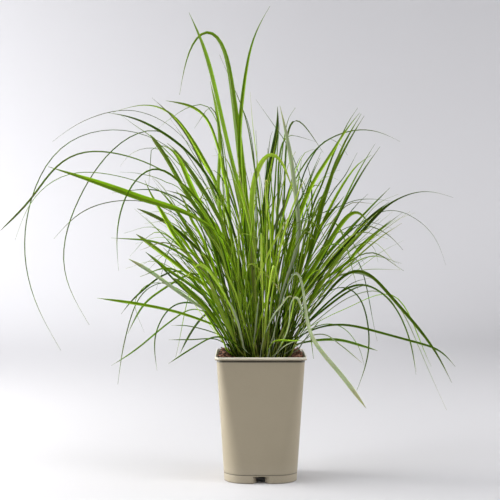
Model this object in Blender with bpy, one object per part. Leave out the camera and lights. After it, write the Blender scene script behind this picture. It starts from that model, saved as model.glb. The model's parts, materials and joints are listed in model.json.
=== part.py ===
"""Potted ornamental grass clump.

A tapered square pot filled with peaty soil, and a dense clump of long arching leaves that
grows from a round crown in the middle. Metres, +Z up. The origin is the middle of the pot's
foot, on the surface that it stands on. The clump's front is -Y, with +X to its right.
"""

import math
from collections import namedtuple

import bmesh
import bpy
from mathutils import Matrix, Vector, noise
from mathutils.bvhtree import BVHTree

MM = 0.001
CM = 0.01
GAP = 0.3 * MM

# Pot
POT_HEIGHT = 250 * MM
RIM_HALF = 90 * MM
RIM_BAND = 7 * MM
RIM_RADIUS = 12 * MM
BODY_HALF_TOP = 86.5 * MM
BODY_HALF_FOOT = 72.2 * MM
BODY_RADIUS_TOP = 14 * MM
BODY_RADIUS_FOOT = 46 * MM
WALL = 2 * MM
FOOT_BAND = 16 * MM
FLOOR_UNDERSIDE = 15 * MM
FLOOR_TOP = 17.5 * MM
FOOT_PAD_HALF = 14 * MM
CORNER_STEPS = 5

# Drain notch in the middle of each side, with splayed cheeks
NOTCH_FACE_WIDTH = 31 * MM
NOTCH_SLOT_WIDTH = 16 * MM
NOTCH_DEPTH = 11 * MM
CHEEK_WALL = 2 * MM
DRAIN_LENGTH = 14 * MM
DRAIN_WIDTH = 7 * MM
DRAIN_INSET = 52 * MM
LABEL_HOLE_RADIUS = 1.1 * MM
LABEL_HOLE_INSET = 88.1 * MM

# Soil and crown
SOIL_LEVEL = POT_HEIGHT - 7.5 * MM
SOIL_LUMP = 2.2 * MM
CROWN_RADIUS = 57 * MM
STEM_SPACING = 8.6 * MM
STEM_HALF = 2.1 * MM

# Leaves
LEAF_SEGMENTS = 11
TIP_HALF = 0.45 * MM
BLADE_THICKNESS = 0.9 * MM
FOLD = 0.3
BEND_WEIGHT = 0.10
CLEARANCE = 0.35 * MM
STEM_ACROSS = 0.45
STEM_BACK = 0.25
STEM_CHOICES = 24
DEPTH_NUDGES = (0, 1, -1, 2, -2, 3, -3)
VIEWPOINT = Vector((-0.021, -2.5, 0.507))

# Tufts
TUFT_LEAF_SEGMENTS = 6
TUFT_CROWN_RADIUS = 9 * MM
TUFT_CROWN_HEIGHT = 26 * MM
TUFT_CROWN_SIDES = 10
TUFT_LEAF_HALF = 4 * MM
TUFT_TURNS = (20, 60, 100)
TUFT_NUDGES = sorted(range(-27, 28, 3), key=abs)

COLOURS = {
    "pot_plastic": ((0.275, 0.245, 0.185), 0.42),
    "potting_soil": ((0.060, 0.035, 0.022), 0.95),
    "leaf_green": ((0.115, 0.285, 0.020), 0.45),
    "leaf_dark": ((0.050, 0.150, 0.015), 0.48),
    "leaf_pale": ((0.260, 0.420, 0.170), 0.50),
}

# The long leaves that stand clear in the outline. Each row gives the leaf's name, its width in
# millimetres, how far its tip lies behind the pot's middle in centimetres, how far the blade is
# turned towards the front in degrees, its colour, and the points that it passes from low down
# to its tip, in centimetres across and above the ground, as they look from the front.
Leaf = namedtuple("Leaf", "name width depth turn colour points")
LEAVES = (
    Leaf("tall_left", 8, -4, 75, "green",
         ((-2.1, 48), (-5.9, 64), (-8.5, 75.4), (-11, 85.6), (-14.3, 93.2))),
    Leaf("tall_left_second", 6.5, 9, 60, "green",
         ((-7.6, 50), (-8.6, 57.3), (-8.2, 63.5), (-8.1, 68.6), (-8.8, 73.8), (-10.1, 79.5))),
    Leaf("tall_middle", 12, 5, 70, "green",
         ((-2.5, 48), (-4, 64), (-5.2, 74), (-6.5, 83.6), (-8.3, 89.3), (-11.1, 91),
          (-13.3, 88.3), (-15.4, 82.6), (-16.2, 76.8))),
    Leaf("tall_right", 7, 1, 70, "green",
         ((-2.8, 47), (-4.2, 67), (-3.1, 80), (-1.4, 88.5), (1.9, 94.5))),
    Leaf("tall_thin", 4, -7, 30, "dark",
         ((0.2, 50), (-2, 67.2), (-2.8, 71.8), (-4.1, 75.4), (-6.5, 80.8), (-8.2, 84.8))),
    Leaf("high_arch_left", 5, 7, 40, "green",
         ((-4, 50), (-7.9, 63.8), (-10.3, 71.8), (-13.5, 74.6), (-19, 75.6))),
    Leaf("left_long_hanging", 5, 14, 35, "dark",
         ((-8, 52), (-16.6, 67.8), (-20.6, 70.7), (-28.5, 67.4), (-35.6, 57.9), (-39.9, 46.1),
          (-39.3, 39.3), (-34.4, 30.6))),
    Leaf("left_wide", 12, -13, 80, "green",
         ((-5, 44), (-10, 50.4), (-16.8, 54), (-23.2, 55.8), (-31.8, 59), (-42.6, 62.4))),
    Leaf("left_farthest", 6, 5, 45, "green",
         ((-8, 50), (-20, 62), (-34.8, 65.8), (-41.7, 61.9), (-46, 55.6), (-52.2, 49.6))),
    Leaf("left_far_low", 4, -18, 35, "dark",
         ((-8, 46), (-20, 57.6), (-35.5, 61.6), (-42.3, 59.2), (-46.3, 55.5), (-49.3, 47.6))),
    Leaf("left_thread", 3.5, 22, 30, "dark",
         ((-8, 54), (-22, 69), (-38, 68.5), (-44.2, 60.7), (-47.5, 50.9), (-47.3, 42.1),
          (-44.8, 33.4), (-40.1, 25.4))),
    Leaf("left_high_thread", 3.5, 28, 30, "dark",
         ((-6, 52), (-16, 69), (-26, 74), (-32.8, 72.6), (-37.7, 70.6), (-41.7, 67.4))),
    Leaf("left_upper_arch", 6, -9, 50, "dark",
         ((-5, 48), (-8.7, 57.1), (-12.6, 63.2), (-16.6, 67.2), (-24.6, 72), (-30.6, 73.2))),
    Leaf("left_upper_tip", 6.5, 16, 65, "green",
         ((-6, 48), (-10.2, 58.7), (-14.6, 68.4), (-19.4, 74.2), (-21.8, 76.2))),
    Leaf("left_upper_bow", 4, 24, 35, "green",
         ((-7, 54), (-12.6, 65.6), (-17.5, 73), (-22.8, 75.1), (-29.5, 73.3))),
    Leaf("left_upright", 8, -6, 75, "green",
         ((-8, 46), (-14, 55.6), (-16.7, 60.2), (-19.1, 64.6), (-22.1, 68.8))),
    Leaf("left_bowed", 5, -16, 40, "dark",
         ((-9, 50), (-17, 60), (-21.4, 62.9), (-26.5, 57.9), (-28.9, 49.3), (-28.5, 41.5))),
    Leaf("left_outer_droop", 4.5, 20, 40, "dark",
         ((-10, 46), (-20, 54.5), (-28.5, 55.6), (-35.2, 53.9), (-38.5, 51.3), (-41.5, 47.9))),
    Leaf("left_middle_blade", 7, -3, 60, "dark",
         ((-8, 40), (-15, 48), (-19.4, 51.5), (-24.8, 54))),
    Leaf("left_middle_arch", 5, -11, 50, "dark",
         ((-8.5, 38), (-14, 43.5), (-20.6, 47.2), (-27, 47.9), (-30, 48.1))),
    Leaf("left_spread_blade", 8, 4, 65, "green",
         ((-9, 36), (-15, 41.2), (-19.5, 44.8), (-25, 48.9))),
    Leaf("left_low_tip", 6, -8, 60, "dark",
         ((-8.5, 33.6), (-14, 38.6), (-18.6, 41.6), (-23.1, 45.3))),
    Leaf("left_low_blade", 6.5, -14, 65, "pale",
         ((-8.5, 31.6), (-13, 34.8), (-17.5, 38), (-22, 41.3), (-26.5, 43.9))),
    Leaf("left_low_bow", 5, 11, 45, "dark",
         ((-8, 36), (-14, 41.2), (-19.1, 40.9), (-23.2, 37.9), (-26, 35.4), (-28, 32.8))),
    Leaf("left_level", 7, -7, 60, "green",
         ((-6, 28.4), (-8.7, 30.3), (-16.6, 33.1), (-24.6, 34.8), (-32.8, 36))),
    Leaf("left_low_droop", 5, 13, 50, "dark",
         ((-6.5, 35), (-10.5, 40), (-13.8, 41.1), (-19.1, 38), (-23.4, 34.9), (-26.7, 28.8))),
    Leaf("left_hook", 5, -12, 45, "dark",
         ((-6, 29), (-12.1, 34.6), (-17.8, 34.4), (-21.2, 28.4), (-20.8, 21.4))),
    Leaf("left_lowest", 4, 17, 40, "dark",
         ((-7, 29.5), (-13, 34), (-19.2, 30.4), (-25, 25.6), (-30, 22.4))),
    Leaf("left_lowest_thread", 3.5, 23, 35, "pale",
         ((-8, 32), (-16, 39), (-23.5, 37.5), (-27.2, 28), (-28.7, 18.6))),
    Leaf("left_short", 5, -9, 50, "dark",
         ((-5.5, 27.2), (-9.1, 28.2), (-12.8, 26.4), (-18.5, 22.8))),
    Leaf("left_short_droop", 4.5, 12, 45, "dark",
         ((-5.5, 29), (-9.5, 33.2), (-12.1, 31.7), (-14.6, 28), (-16.2, 24.8))),
    Leaf("top_sharp", 8, 8, 75, "green",
         ((0.6, 46), (1.5, 59.7), (2.5, 65.4), (3.5, 70.6), (3.4, 74.4))),
    Leaf("top_pale", 9, -8, 80, "pale",
         ((4, 36), (7.6, 47), (7.4, 54), (6.1, 64.4), (4.7, 71.2), (3.9, 74.6))),
    Leaf("top_crest", 7, -2, 65, "green",
         ((-1.4, 46), (-1.6, 58), (0.4, 64), (2.4, 65.9), (4.6, 63), (7, 56))),
    Leaf("top_fine_arch", 3.5, 15, 30, "dark",
         ((4.4, 50), (5, 64), (5.7, 71.2), (6.8, 73), (8.4, 71.3), (10.3, 68.7), (12.6, 65.2))),
    Leaf("right_tall_blade", 8, -5, 70, "green",
         ((5, 42), (9.7, 57.4), (14, 64.4), (16.6, 69), (19.9, 73.2))),
    Leaf("right_tall_edge", 5, 12, 45, "green",
         ((6.6, 44), (10.8, 52.4), (12.8, 57), (17, 66.2), (20.8, 72.6))),
    Leaf("right_upper_arch", 4, 21, 35, "dark",
         ((4, 52), (9.9, 64.6), (13.6, 67.9), (18, 69.7), (23, 69.8), (28, 67.4))),
    Leaf("right_slender", 5, -12, 50, "dark",
         ((9, 42), (13, 48), (16.6, 54.9), (19.4, 60.9), (23, 67))),
    Leaf("right_folded", 9, -9, 75, "green",
         ((7, 36), (11, 42.5), (15.6, 50), (19.2, 53.9), (21.6, 51.2))),
    Leaf("right_long_arch", 8, 6, 55, "dark",
         ((9, 37), (16, 44.5), (21.2, 50.2), (25.2, 54.6), (30.8, 57.3), (34.6, 57.5),
          (38.7, 56.2))),
    Leaf("right_fine_blade", 4.5, 16, 50, "dark",
         ((9, 40), (15, 46.4), (20.4, 52.5), (26, 58.2))),
    Leaf("right_thread", 3.5, 23, 30, "pale",
         ((9, 38), (17, 48.5), (25.8, 54), (33, 50.7), (35.9, 46.9), (37.2, 42.7))),
    Leaf("right_bow", 4, -17, 40, "dark",
         ((8, 40), (15, 48.8), (20, 50.9), (25.4, 49.1), (28.6, 45.7))),
    Leaf("right_big_arch", 9, -7, 60, "dark",
         ((6, 29), (10.5, 33), (15, 39), (20.3, 42), (27.4, 34.9), (34.4, 26.5), (38.5, 19))),
    Leaf("right_low_arch", 5.5, 10, 50, "dark",
         ((7, 28.4), (14, 35.6), (20.2, 39), (26.2, 35.4), (29.9, 28), (31.3, 20.6))),
    Leaf("right_long_droop", 5.5, 18, 50, "pale",
         ((8, 34), (16, 41), (22.6, 40.2), (28.5, 33.4), (33.4, 22.4), (37.5, 13.4))),
    Leaf("right_level", 6, -13, 45, "dark",
         ((6.2, 27.3), (12, 30.2), (17.5, 30.6), (23.4, 29.2), (30.6, 27.2), (36, 25.6),
          (39.2, 22.2))),
    Leaf("right_lowest", 6.5, 14, 60, "green",
         ((6, 26.2), (10.5, 27.4), (15.6, 27.6), (19.6, 26.6), (23.6, 25.4))),
    Leaf("front_pale", 9, -24, 75, "pale",
         ((4.6, 36), (7.3, 42.3), (8.7, 37.7), (10, 28.6), (14.2, 23.2), (17.9, 18.6),
          (21.3, 13.8))),
    Leaf("right_hook", 4.5, -19, 45, "dark",
         ((8, 32), (15.5, 38.4), (20.2, 36), (21.9, 28), (21.2, 22.4), (19.4, 17.4))),
)

# The tufts that fill the clump. Each row gives the tuft's name, where it stands in the crown in
# centimetres, and its leaves: heading in degrees from +X, reach and height in centimetres, and
# how far the tip drops below the top of its arch.
Tuft = namedtuple("Tuft", "name place leaves")
TUFTS = (
    Tuft("middle", (0.2, 0.4), (
        (80, 7, 70, 0), (160, 12, 66, 1), (250, 9, 62, 0), (350, 11, 67, 1), (35, 16, 60, 3),
        (200, 17, 57, 3), (300, 15, 58, 2), (125, 14, 63, 2))),
    Tuft("front", (0.4, -3.4), (
        (270, 30, 50, 9), (245, 24, 56, 4), (295, 27, 52, 7), (225, 28, 47, 5),
        (315, 28, 48, 6), (260, 16, 60, 1), (285, 19, 60, 2), (275, 33, 44, 5))),
    Tuft("back", (0.0, 4.0), (
        (90, 32, 56, 14), (70, 27, 62, 6), (110, 29, 60, 8), (50, 34, 52, 16),
        (130, 35, 50, 14), (85, 17, 68, 1), (100, 22, 64, 3), (75, 38, 40, 16),
        (118, 39, 38, 18))),
    Tuft("left", (-3.6, 0.6), (
        (180, 20, 54, 1), (165, 25, 51, 2), (195, 22, 49, 2), (150, 28, 50, 6),
        (210, 26, 46, 3), (172, 14, 60, 0), (188, 23, 44, 2), (140, 24, 56, 4))),
    Tuft("right", (3.8, 0.6), (
        (0, 19, 56, 1), (15, 25, 52, 2), (345, 22, 50, 2), (30, 30, 48, 7),
        (330, 27, 46, 4), (8, 13, 62, 0), (352, 24, 45, 2), (42, 23, 58, 4))),
    Tuft("front_left", (-2.6, -2.6), (
        (225, 24, 48, 2), (205, 20, 52, 1), (245, 28, 44, 4), (215, 24, 43, 2),
        (235, 14, 56, 0))),
    Tuft("back_right", (2.6, 3.2), (
        (45, 30, 50, 8), (60, 40, 44, 20), (28, 38, 36, 16), (52, 20, 62, 2), (75, 33, 34, 14))),
)


def clear_scene():
    """Remove every object, so that the file starts empty."""
    for item in list(bpy.data.objects):
        bpy.data.objects.remove(item, do_unlink=True)


def new_collection(name):
    """Add a collection to the scene."""
    collection = bpy.data.collections.new(name)
    bpy.context.scene.collection.children.link(collection)
    return collection


def new_material(name):
    """Make a plain Principled material from the colour table."""
    colour, roughness = COLOURS[name]
    material = bpy.data.materials.new(name)
    material.use_nodes = True
    shader = material.node_tree.nodes["Principled BSDF"]
    shader.inputs["Base Color"].default_value = (*colour, 1)
    shader.inputs["Roughness"].default_value = roughness
    shader.inputs["Metallic"].default_value = 0
    material.diffuse_color = (*colour, 1)
    return material


def skin(rings):
    """Join rings with the same number of points into one closed mesh, capped at both ends."""
    shape = bmesh.new()
    rows = [[shape.verts.new(point) for point in ring] for ring in rings]
    for low, high in zip(rows, rows[1:]):
        for here in range(len(low)):
            after = (here + 1) % len(low)
            shape.faces.new((low[here], low[after], high[after], high[here]))
    shape.faces.new(list(reversed(rows[0])))
    shape.faces.new(rows[-1])
    bmesh.ops.recalc_face_normals(shape, faces=shape.faces)
    return shape


def add_object(name, shape, collection, material=None, crease=35):
    """Turn a finished bmesh into a smooth-shaded object with creases at its sharp edges."""
    mesh = bpy.data.meshes.new(name)
    shape.to_mesh(mesh)
    shape.free()
    mesh.shade_smooth()
    mesh.set_sharp_from_angle(angle=math.radians(crease))
    if material:
        mesh.materials.append(material)
    item = bpy.data.objects.new(name, mesh)
    collection.objects.link(item)
    return item


def add_cutter(name, shape, collection):
    """Add a guide solid that only cuts or joins other solids."""
    item = add_object(name, shape, collection)
    item.hide_render = True
    item.display_type = "WIRE"
    return item


def add_boolean(item, other, operation):
    """Join another solid to an object, or cut it away, with the exact solver."""
    step = item.modifiers.new(other.name, "BOOLEAN")
    step.operation = operation
    step.solver = "EXACT"
    if isinstance(other, bpy.types.Collection):
        step.operand_type = "COLLECTION"
        step.collection = other
    else:
        step.object = other


def blend(low, high, share):
    """Mix two numbers or vectors."""
    return low + (high - low) * share


def ease(share):
    """Rise smoothly from 0 to 1 as the share does."""
    share = min(max(share, 0), 1)
    return share * share * (3 - 2 * share)


def rounded_square(height, half, radius):
    """Return the points of a level square with rounded corners, counterclockwise from above."""
    points = []
    for corner in range(4):
        turn = Matrix.Rotation(corner * math.pi / 2, 4, "Z")
        for step in range(CORNER_STEPS + 1):
            angle = step / CORNER_STEPS * math.pi / 2
            x = half - radius + radius * math.cos(angle)
            y = half - radius + radius * math.sin(angle)
            points.append(turn @ Vector((x, y, height)))
    return points


def body_half(height):
    """Return half of the body's outer width at a height."""
    return blend(BODY_HALF_FOOT, BODY_HALF_TOP, height / (POT_HEIGHT - RIM_BAND))


def body_radius(height):
    """Return the body's outer corner radius at a height."""
    return blend(BODY_RADIUS_FOOT, BODY_RADIUS_TOP, height / (POT_HEIGHT - RIM_BAND))


def wall_ring(height, inset=0.0):
    """Return a ring that follows the body's wall at a height, moved inwards."""
    return rounded_square(height, body_half(height) - inset, body_radius(height) - inset)


def tapered_block(wide, narrow, near, far, bottom, top):
    """Return a block that narrows from its near end to its far end along +Y."""
    shape = bmesh.new()
    bmesh.ops.create_cube(shape, size=1)
    for vertex in shape.verts:
        width = wide if vertex.co.y < 0 else narrow
        vertex.co.x *= width
        vertex.co.y = near if vertex.co.y < 0 else far
        vertex.co.z = bottom if vertex.co.z < 0 else top
    return shape


def build_pot(collection, cutters, material):
    """Build the pot as one moulded shell with a rim band, a foot band and drain notches."""
    rim_low = POT_HEIGHT - RIM_BAND
    rings = [
        rounded_square(0, FOOT_PAD_HALF, FOOT_PAD_HALF * 0.9),
        rounded_square(FLOOR_UNDERSIDE, FOOT_PAD_HALF + 1 * MM, FOOT_PAD_HALF * 0.95),
        wall_ring(FLOOR_UNDERSIDE, WALL),
        wall_ring(0, WALL + 0.4 * MM),
        wall_ring(0, 0.5 * MM),
        wall_ring(0.6 * MM),
        wall_ring(FOOT_BAND),
        wall_ring(FOOT_BAND + 0.5 * MM, 0.5 * MM),
        wall_ring(FOOT_BAND + 1.1 * MM, 0.5 * MM),
        wall_ring(FOOT_BAND + 1.6 * MM),
        wall_ring(rim_low),
        rounded_square(rim_low, RIM_HALF - 0.5 * MM, RIM_RADIUS),
        rounded_square(rim_low + 4.3 * MM, RIM_HALF - 0.2 * MM, RIM_RADIUS),
        rounded_square(POT_HEIGHT - 1.6 * MM, RIM_HALF, RIM_RADIUS),
        rounded_square(POT_HEIGHT - 0.4 * MM, RIM_HALF - 0.7 * MM, RIM_RADIUS),
        rounded_square(POT_HEIGHT, RIM_HALF - 1.8 * MM, RIM_RADIUS),
        rounded_square(POT_HEIGHT - 0.6 * MM, RIM_HALF - 4.4 * MM, RIM_RADIUS - 2 * MM),
        wall_ring(POT_HEIGHT - 4 * MM, WALL),
        wall_ring(FLOOR_TOP, WALL),
    ]
    pot = add_object("pot", skin(rings), collection, material)
    face = body_half(0)
    for side in range(4):
        turn = Matrix.Rotation(side * math.pi / 2, 4, "Z")
        cheeks = tapered_block(NOTCH_FACE_WIDTH + 2 * CHEEK_WALL, NOTCH_SLOT_WIDTH + 2 * CHEEK_WALL,
                               -face + 1 * MM, -face + NOTCH_DEPTH, 0.5 * MM, FLOOR_TOP - 1 * MM)
        notch = tapered_block(NOTCH_FACE_WIDTH + 2 * MM, NOTCH_SLOT_WIDTH,
                              -face - 1 * MM, -face + NOTCH_DEPTH + 1 * MM,
                              -1 * MM, FLOOR_UNDERSIDE - 0.6 * MM)
        drain = tapered_block(DRAIN_LENGTH, DRAIN_LENGTH, -DRAIN_INSET, -DRAIN_INSET + DRAIN_WIDTH,
                              FLOOR_UNDERSIDE - 2 * MM, FLOOR_TOP + 2 * MM)
        for name, shape, operation in (("cheeks", cheeks, "UNION"), ("notch", notch, "DIFFERENCE"),
                                       ("drain", drain, "DIFFERENCE")):
            shape.transform(turn)
            cutter = add_cutter(f"{name}_{side}", shape, cutters)
            add_boolean(pot, cutter, operation)
    for side in (-1, 1):
        hole = bmesh.new()
        bmesh.ops.create_cone(hole, cap_ends=True, segments=10, radius1=LABEL_HOLE_RADIUS,
                              radius2=LABEL_HOLE_RADIUS, depth=4 * RIM_BAND)
        hole.transform(Matrix.Translation((side * LABEL_HOLE_INSET, 0, POT_HEIGHT)))
        add_boolean(pot, add_cutter(f"label_hole_{side}", hole, cutters), "DIFFERENCE")
    return pot


def build_soil(collection, material):
    """Build the soil: it fills the pot, is lumpy at the edge and level under the crown."""
    rings = [
        wall_ring(FLOOR_TOP + GAP, WALL + GAP + 0.1 * MM),
        wall_ring(SOIL_LEVEL - 3 * MM, WALL + GAP + 0.1 * MM),
    ]
    edge = rings[-1]
    for share in (0.95, 0.87, 0.79):
        ring = [Vector((p.x * share, p.y * share, SOIL_LEVEL - SOIL_LUMP)) for p in edge]
        for point in ring:
            point.z += SOIL_LUMP * noise.noise(point * 90)
        rings.append(ring)
    crown = CROWN_RADIUS + 4 * MM
    rings.append(rounded_square(SOIL_LEVEL, crown, crown * 0.75))
    return add_object("soil", skin(rings), collection, material, crease=50)


def smooth_path(points, stations, bend_weight=BEND_WEIGHT):
    """Return points along a smooth curve through the given points, closer where it bends."""
    ends = [2 * points[0] - points[1], *points, 2 * points[-1] - points[-2]]
    dense = []
    for before, start, end, after in zip(ends, ends[1:], ends[2:], ends[3:]):
        for step in range(20):
            t = step / 20
            dense.append(0.5 * (2 * start + (end - before) * t
                                + (2 * before - 5 * start + 4 * end - after) * t ** 2
                                + (3 * start - before - 3 * end + after) * t ** 3))
    dense.append(points[-1].copy())
    travelled = [0.0]
    for index in range(1, len(dense)):
        step = dense[index] - dense[index - 1]
        bend = step.angle(dense[index + 1] - dense[index]) if index + 1 < len(dense) else 0
        travelled.append(travelled[-1] + step.length + bend_weight * bend)
    path = []
    index = 0
    for station in range(stations + 1):
        target = travelled[-1] * station / stations
        while index < len(dense) - 2 and travelled[index + 1] < target:
            index += 1
        span = travelled[index + 1] - travelled[index]
        path.append(dense[index].lerp(dense[index + 1], (target - travelled[index]) / span))
    return path


def path_shares(path):
    """Return how far along the path each of its points lies, from 0 to 1."""
    travelled = [0.0]
    for start, end in zip(path, path[1:]):
        travelled.append(travelled[-1] + (end - start).length)
    return [length / travelled[-1] for length in travelled]


def blade_half(share, full_half):
    """Return half of the leaf's width: a slim stem, a full blade and a long fine tip."""
    grown = blend(STEM_HALF, full_half, ease(share / 0.4))
    taper = 1 - max(0.0, (share - 0.45) / 0.55) ** 2.2
    return max(TIP_HALF, grown * taper)


def leaf_rings(path, full_half, turn, extra=0.0):
    """Return the leaf's sections: a diamond stem at the soil that opens into a folded blade."""
    heading = path[-1] - path[0]
    heading.z = 0
    level_side = Vector((0, 0, 1)).cross(heading).normalized()
    rings = []
    for index, (point, share) in enumerate(zip(path, path_shares(path))):
        before = path[max(index - 1, 0)]
        after = path[min(index + 1, len(path) - 1)]
        along = (after - before).normalized()
        side = (level_side - along * level_side.dot(along)).normalized()
        side = Matrix.Rotation(math.radians(turn), 3, along) @ side
        face = along.cross(side)
        if index == 0:
            side = Vector((side.x, side.y, 0)).normalized()
            face = Vector((0, 0, 1)).cross(side)
        half = blade_half(share, full_half) + extra
        opened = ease(share / 0.3)
        thick = BLADE_THICKNESS * min(1, half / (3 * MM)) + extra
        body = face * blend(STEM_HALF + extra, thick / 2, opened)
        lift = face * (FOLD * half * opened)
        rings.append([point - side * half + lift, point - body,
                      point + side * half + lift, point + body])
    return rings


def tree_of(shape):
    """Return a search tree of a bmesh's faces, to test it against others."""
    return BVHTree.FromBMesh(shape)


def crown_places():
    """Return the free stem places in the crown: a hexagonal grid inside its circle."""
    places = []
    count = int(CROWN_RADIUS / STEM_SPACING) + 2
    for row in range(-count, count + 1):
        for column in range(-count, count + 1):
            x = (column + 0.5 * (row % 2)) * STEM_SPACING
            y = row * STEM_SPACING * math.sqrt(0.75)
            if math.hypot(x, y) < CROWN_RADIUS - STEM_HALF:
                places.append(Vector((x, y)))
    return places


def leaf_path(leaf, place, depth):
    """Return a long leaf's path from its place in the crown through its points."""
    seen = [Vector((x * CM, z * CM)) for x, z in leaf.points]
    lengths = [(seen[0] - Vector((place.x, SOIL_LEVEL))).length]
    for start, end in zip(seen, seen[1:]):
        lengths.append(lengths[-1] + (end - start).length)
    points = [Vector((place.x, place.y, SOIL_LEVEL + GAP))]
    for spot, length in zip(seen, lengths):
        y = blend(place.y, depth, length / lengths[-1])
        spread = (y - VIEWPOINT.y) / -VIEWPOINT.y
        x = VIEWPOINT.x + (spot.x - VIEWPOINT.x) * spread
        z = VIEWPOINT.z + (spot.y - VIEWPOINT.z) * spread
        points.append(Vector((x, y, z)))
    return smooth_path(points, LEAF_SEGMENTS)


def build_leaf(leaf, places, grown, collection, material):
    """Build one long leaf at the nearest free place where it touches no other leaf."""
    low = leaf.points[0]
    wanted = Vector((low[0] * CM * STEM_ACROSS, leaf.depth * CM * STEM_BACK))
    if wanted.length > CROWN_RADIUS:
        wanted *= CROWN_RADIUS / wanted.length
    nearest = sorted(places, key=lambda place: (place - wanted).length)[:STEM_CHOICES]
    for nudge in DEPTH_NUDGES:
        for place in nearest:
            path = leaf_path(leaf, place, (leaf.depth + nudge) * CM)
            half = leaf.width * MM / 2
            room = skin(leaf_rings(path, half, leaf.turn, CLEARANCE))
            tree = tree_of(room)
            room.free()
            if any(tree.overlap(other) for other in grown):
                continue
            shape = skin(leaf_rings(path, half, leaf.turn))
            grown.append(tree_of(shape))
            places.remove(place)
            return add_object(f"leaf_{leaf.name}", shape, collection, material, crease=60)
    raise RuntimeError(f"no free place for leaf_{leaf.name}")


def tuft_leaf_path(place, heading, reach, height, drop):
    """Return a path that rises from a tuft, leans out and bows over at its tip."""
    out = Vector((math.cos(heading), math.sin(heading), 0))
    foot = Vector((place.x, place.y, SOIL_LEVEL + 6 * MM)) + out * (TUFT_CROWN_RADIUS * 0.45)
    top = height * CM
    rise = top - foot.z
    reach = reach * CM
    points = [
        foot,
        foot + out * (reach * 0.16) + Vector((0, 0, rise * 0.37)),
        foot + out * (reach * 0.42) + Vector((0, 0, rise * 0.74)),
        foot + out * (reach * 0.74) + Vector((0, 0, rise * 0.97)),
        foot + out * reach + Vector((0, 0, rise - drop * CM)),
    ]
    return smooth_path(points, TUFT_LEAF_SEGMENTS)


def tuft_crown(tuft):
    """Return the short round crown that a tuft's leaves grow from."""
    shape = bmesh.new()
    bmesh.ops.create_cone(shape, cap_ends=True, segments=TUFT_CROWN_SIDES,
                          radius1=TUFT_CROWN_RADIUS, radius2=TUFT_CROWN_RADIUS * 0.75,
                          depth=TUFT_CROWN_HEIGHT)
    middle = SOIL_LEVEL + GAP + TUFT_CROWN_HEIGHT / 2
    shape.transform(Matrix.Translation((*(Vector(tuft.place) * CM), middle)))
    return shape


def build_tuft(tuft, crown_tree, grown, collection, cutters, material):
    """Build one tuft: its crown, with its leaves joined on."""
    item = add_object(f"tuft_{tuft.name}", tuft_crown(tuft), collection, material, crease=60)
    parts = bpy.data.collections.new(f"{tuft.name}_leaves")
    cutters.children.link(parts)
    others = [tree for tree in grown if tree is not crown_tree]
    for number, (heading, reach, height, drop) in enumerate(tuft.leaves):
        turn = TUFT_TURNS[number % len(TUFT_TURNS)]
        for nudge in TUFT_NUDGES:
            path = tuft_leaf_path(Vector(tuft.place) * CM, math.radians(heading + nudge),
                                  reach, height, drop)
            room = skin(leaf_rings(path, TUFT_LEAF_HALF, turn, CLEARANCE))
            tree = tree_of(room)
            room.free()
            if not any(tree.overlap(other) for other in others):
                break
        else:
            raise RuntimeError(f"no free way for leaf {number} of tuft_{tuft.name}")
        leaf = skin(leaf_rings(path, TUFT_LEAF_HALF, turn))
        grown.append(tree_of(leaf))
        add_cutter(f"{tuft.name}_leaf_{number}", leaf, parts)
    add_boolean(item, parts, "UNION")
    return item


def main():
    """Build the pot, its soil, the long leaves and the tufts."""
    clear_scene()
    collection = new_collection("potted_ornamental_grass_clump")
    cutters = new_collection("cutters")
    materials = {name: new_material(name) for name in COLOURS}
    build_pot(collection, cutters, materials["pot_plastic"])
    build_soil(collection, materials["potting_soil"])
    places = crown_places()
    crown_trees = {}
    for tuft in TUFTS:
        crown = tuft_crown(tuft)
        crown_trees[tuft.name] = tree_of(crown)
        crown.free()
        room = TUFT_CROWN_RADIUS + STEM_HALF + CLEARANCE
        spot = Vector(tuft.place) * CM
        places = [place for place in places if (place - spot).length > room]
    grown = list(crown_trees.values())
    for leaf in LEAVES:
        build_leaf(leaf, places, grown, collection, materials[f"leaf_{leaf.colour}"])
    for tuft in TUFTS:
        build_tuft(tuft, crown_trees[tuft.name], grown, collection, cutters,
                   materials["leaf_green"])


main()
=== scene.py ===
"""Potted ornamental grass clump: the finish of its pot, its soil and its leaves.

Metres, +Z up. The origin is the middle of the pot's foot, the clump's front is -Y and +X is to
its right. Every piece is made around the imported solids, which stay where they are.
"""

import json
import math
import random
from collections import namedtuple

import bmesh
import bpy
import numpy as np
from bpy.props import FloatProperty, FloatVectorProperty, IntProperty, PointerProperty
from mathutils import Matrix, Vector, noise


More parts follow.
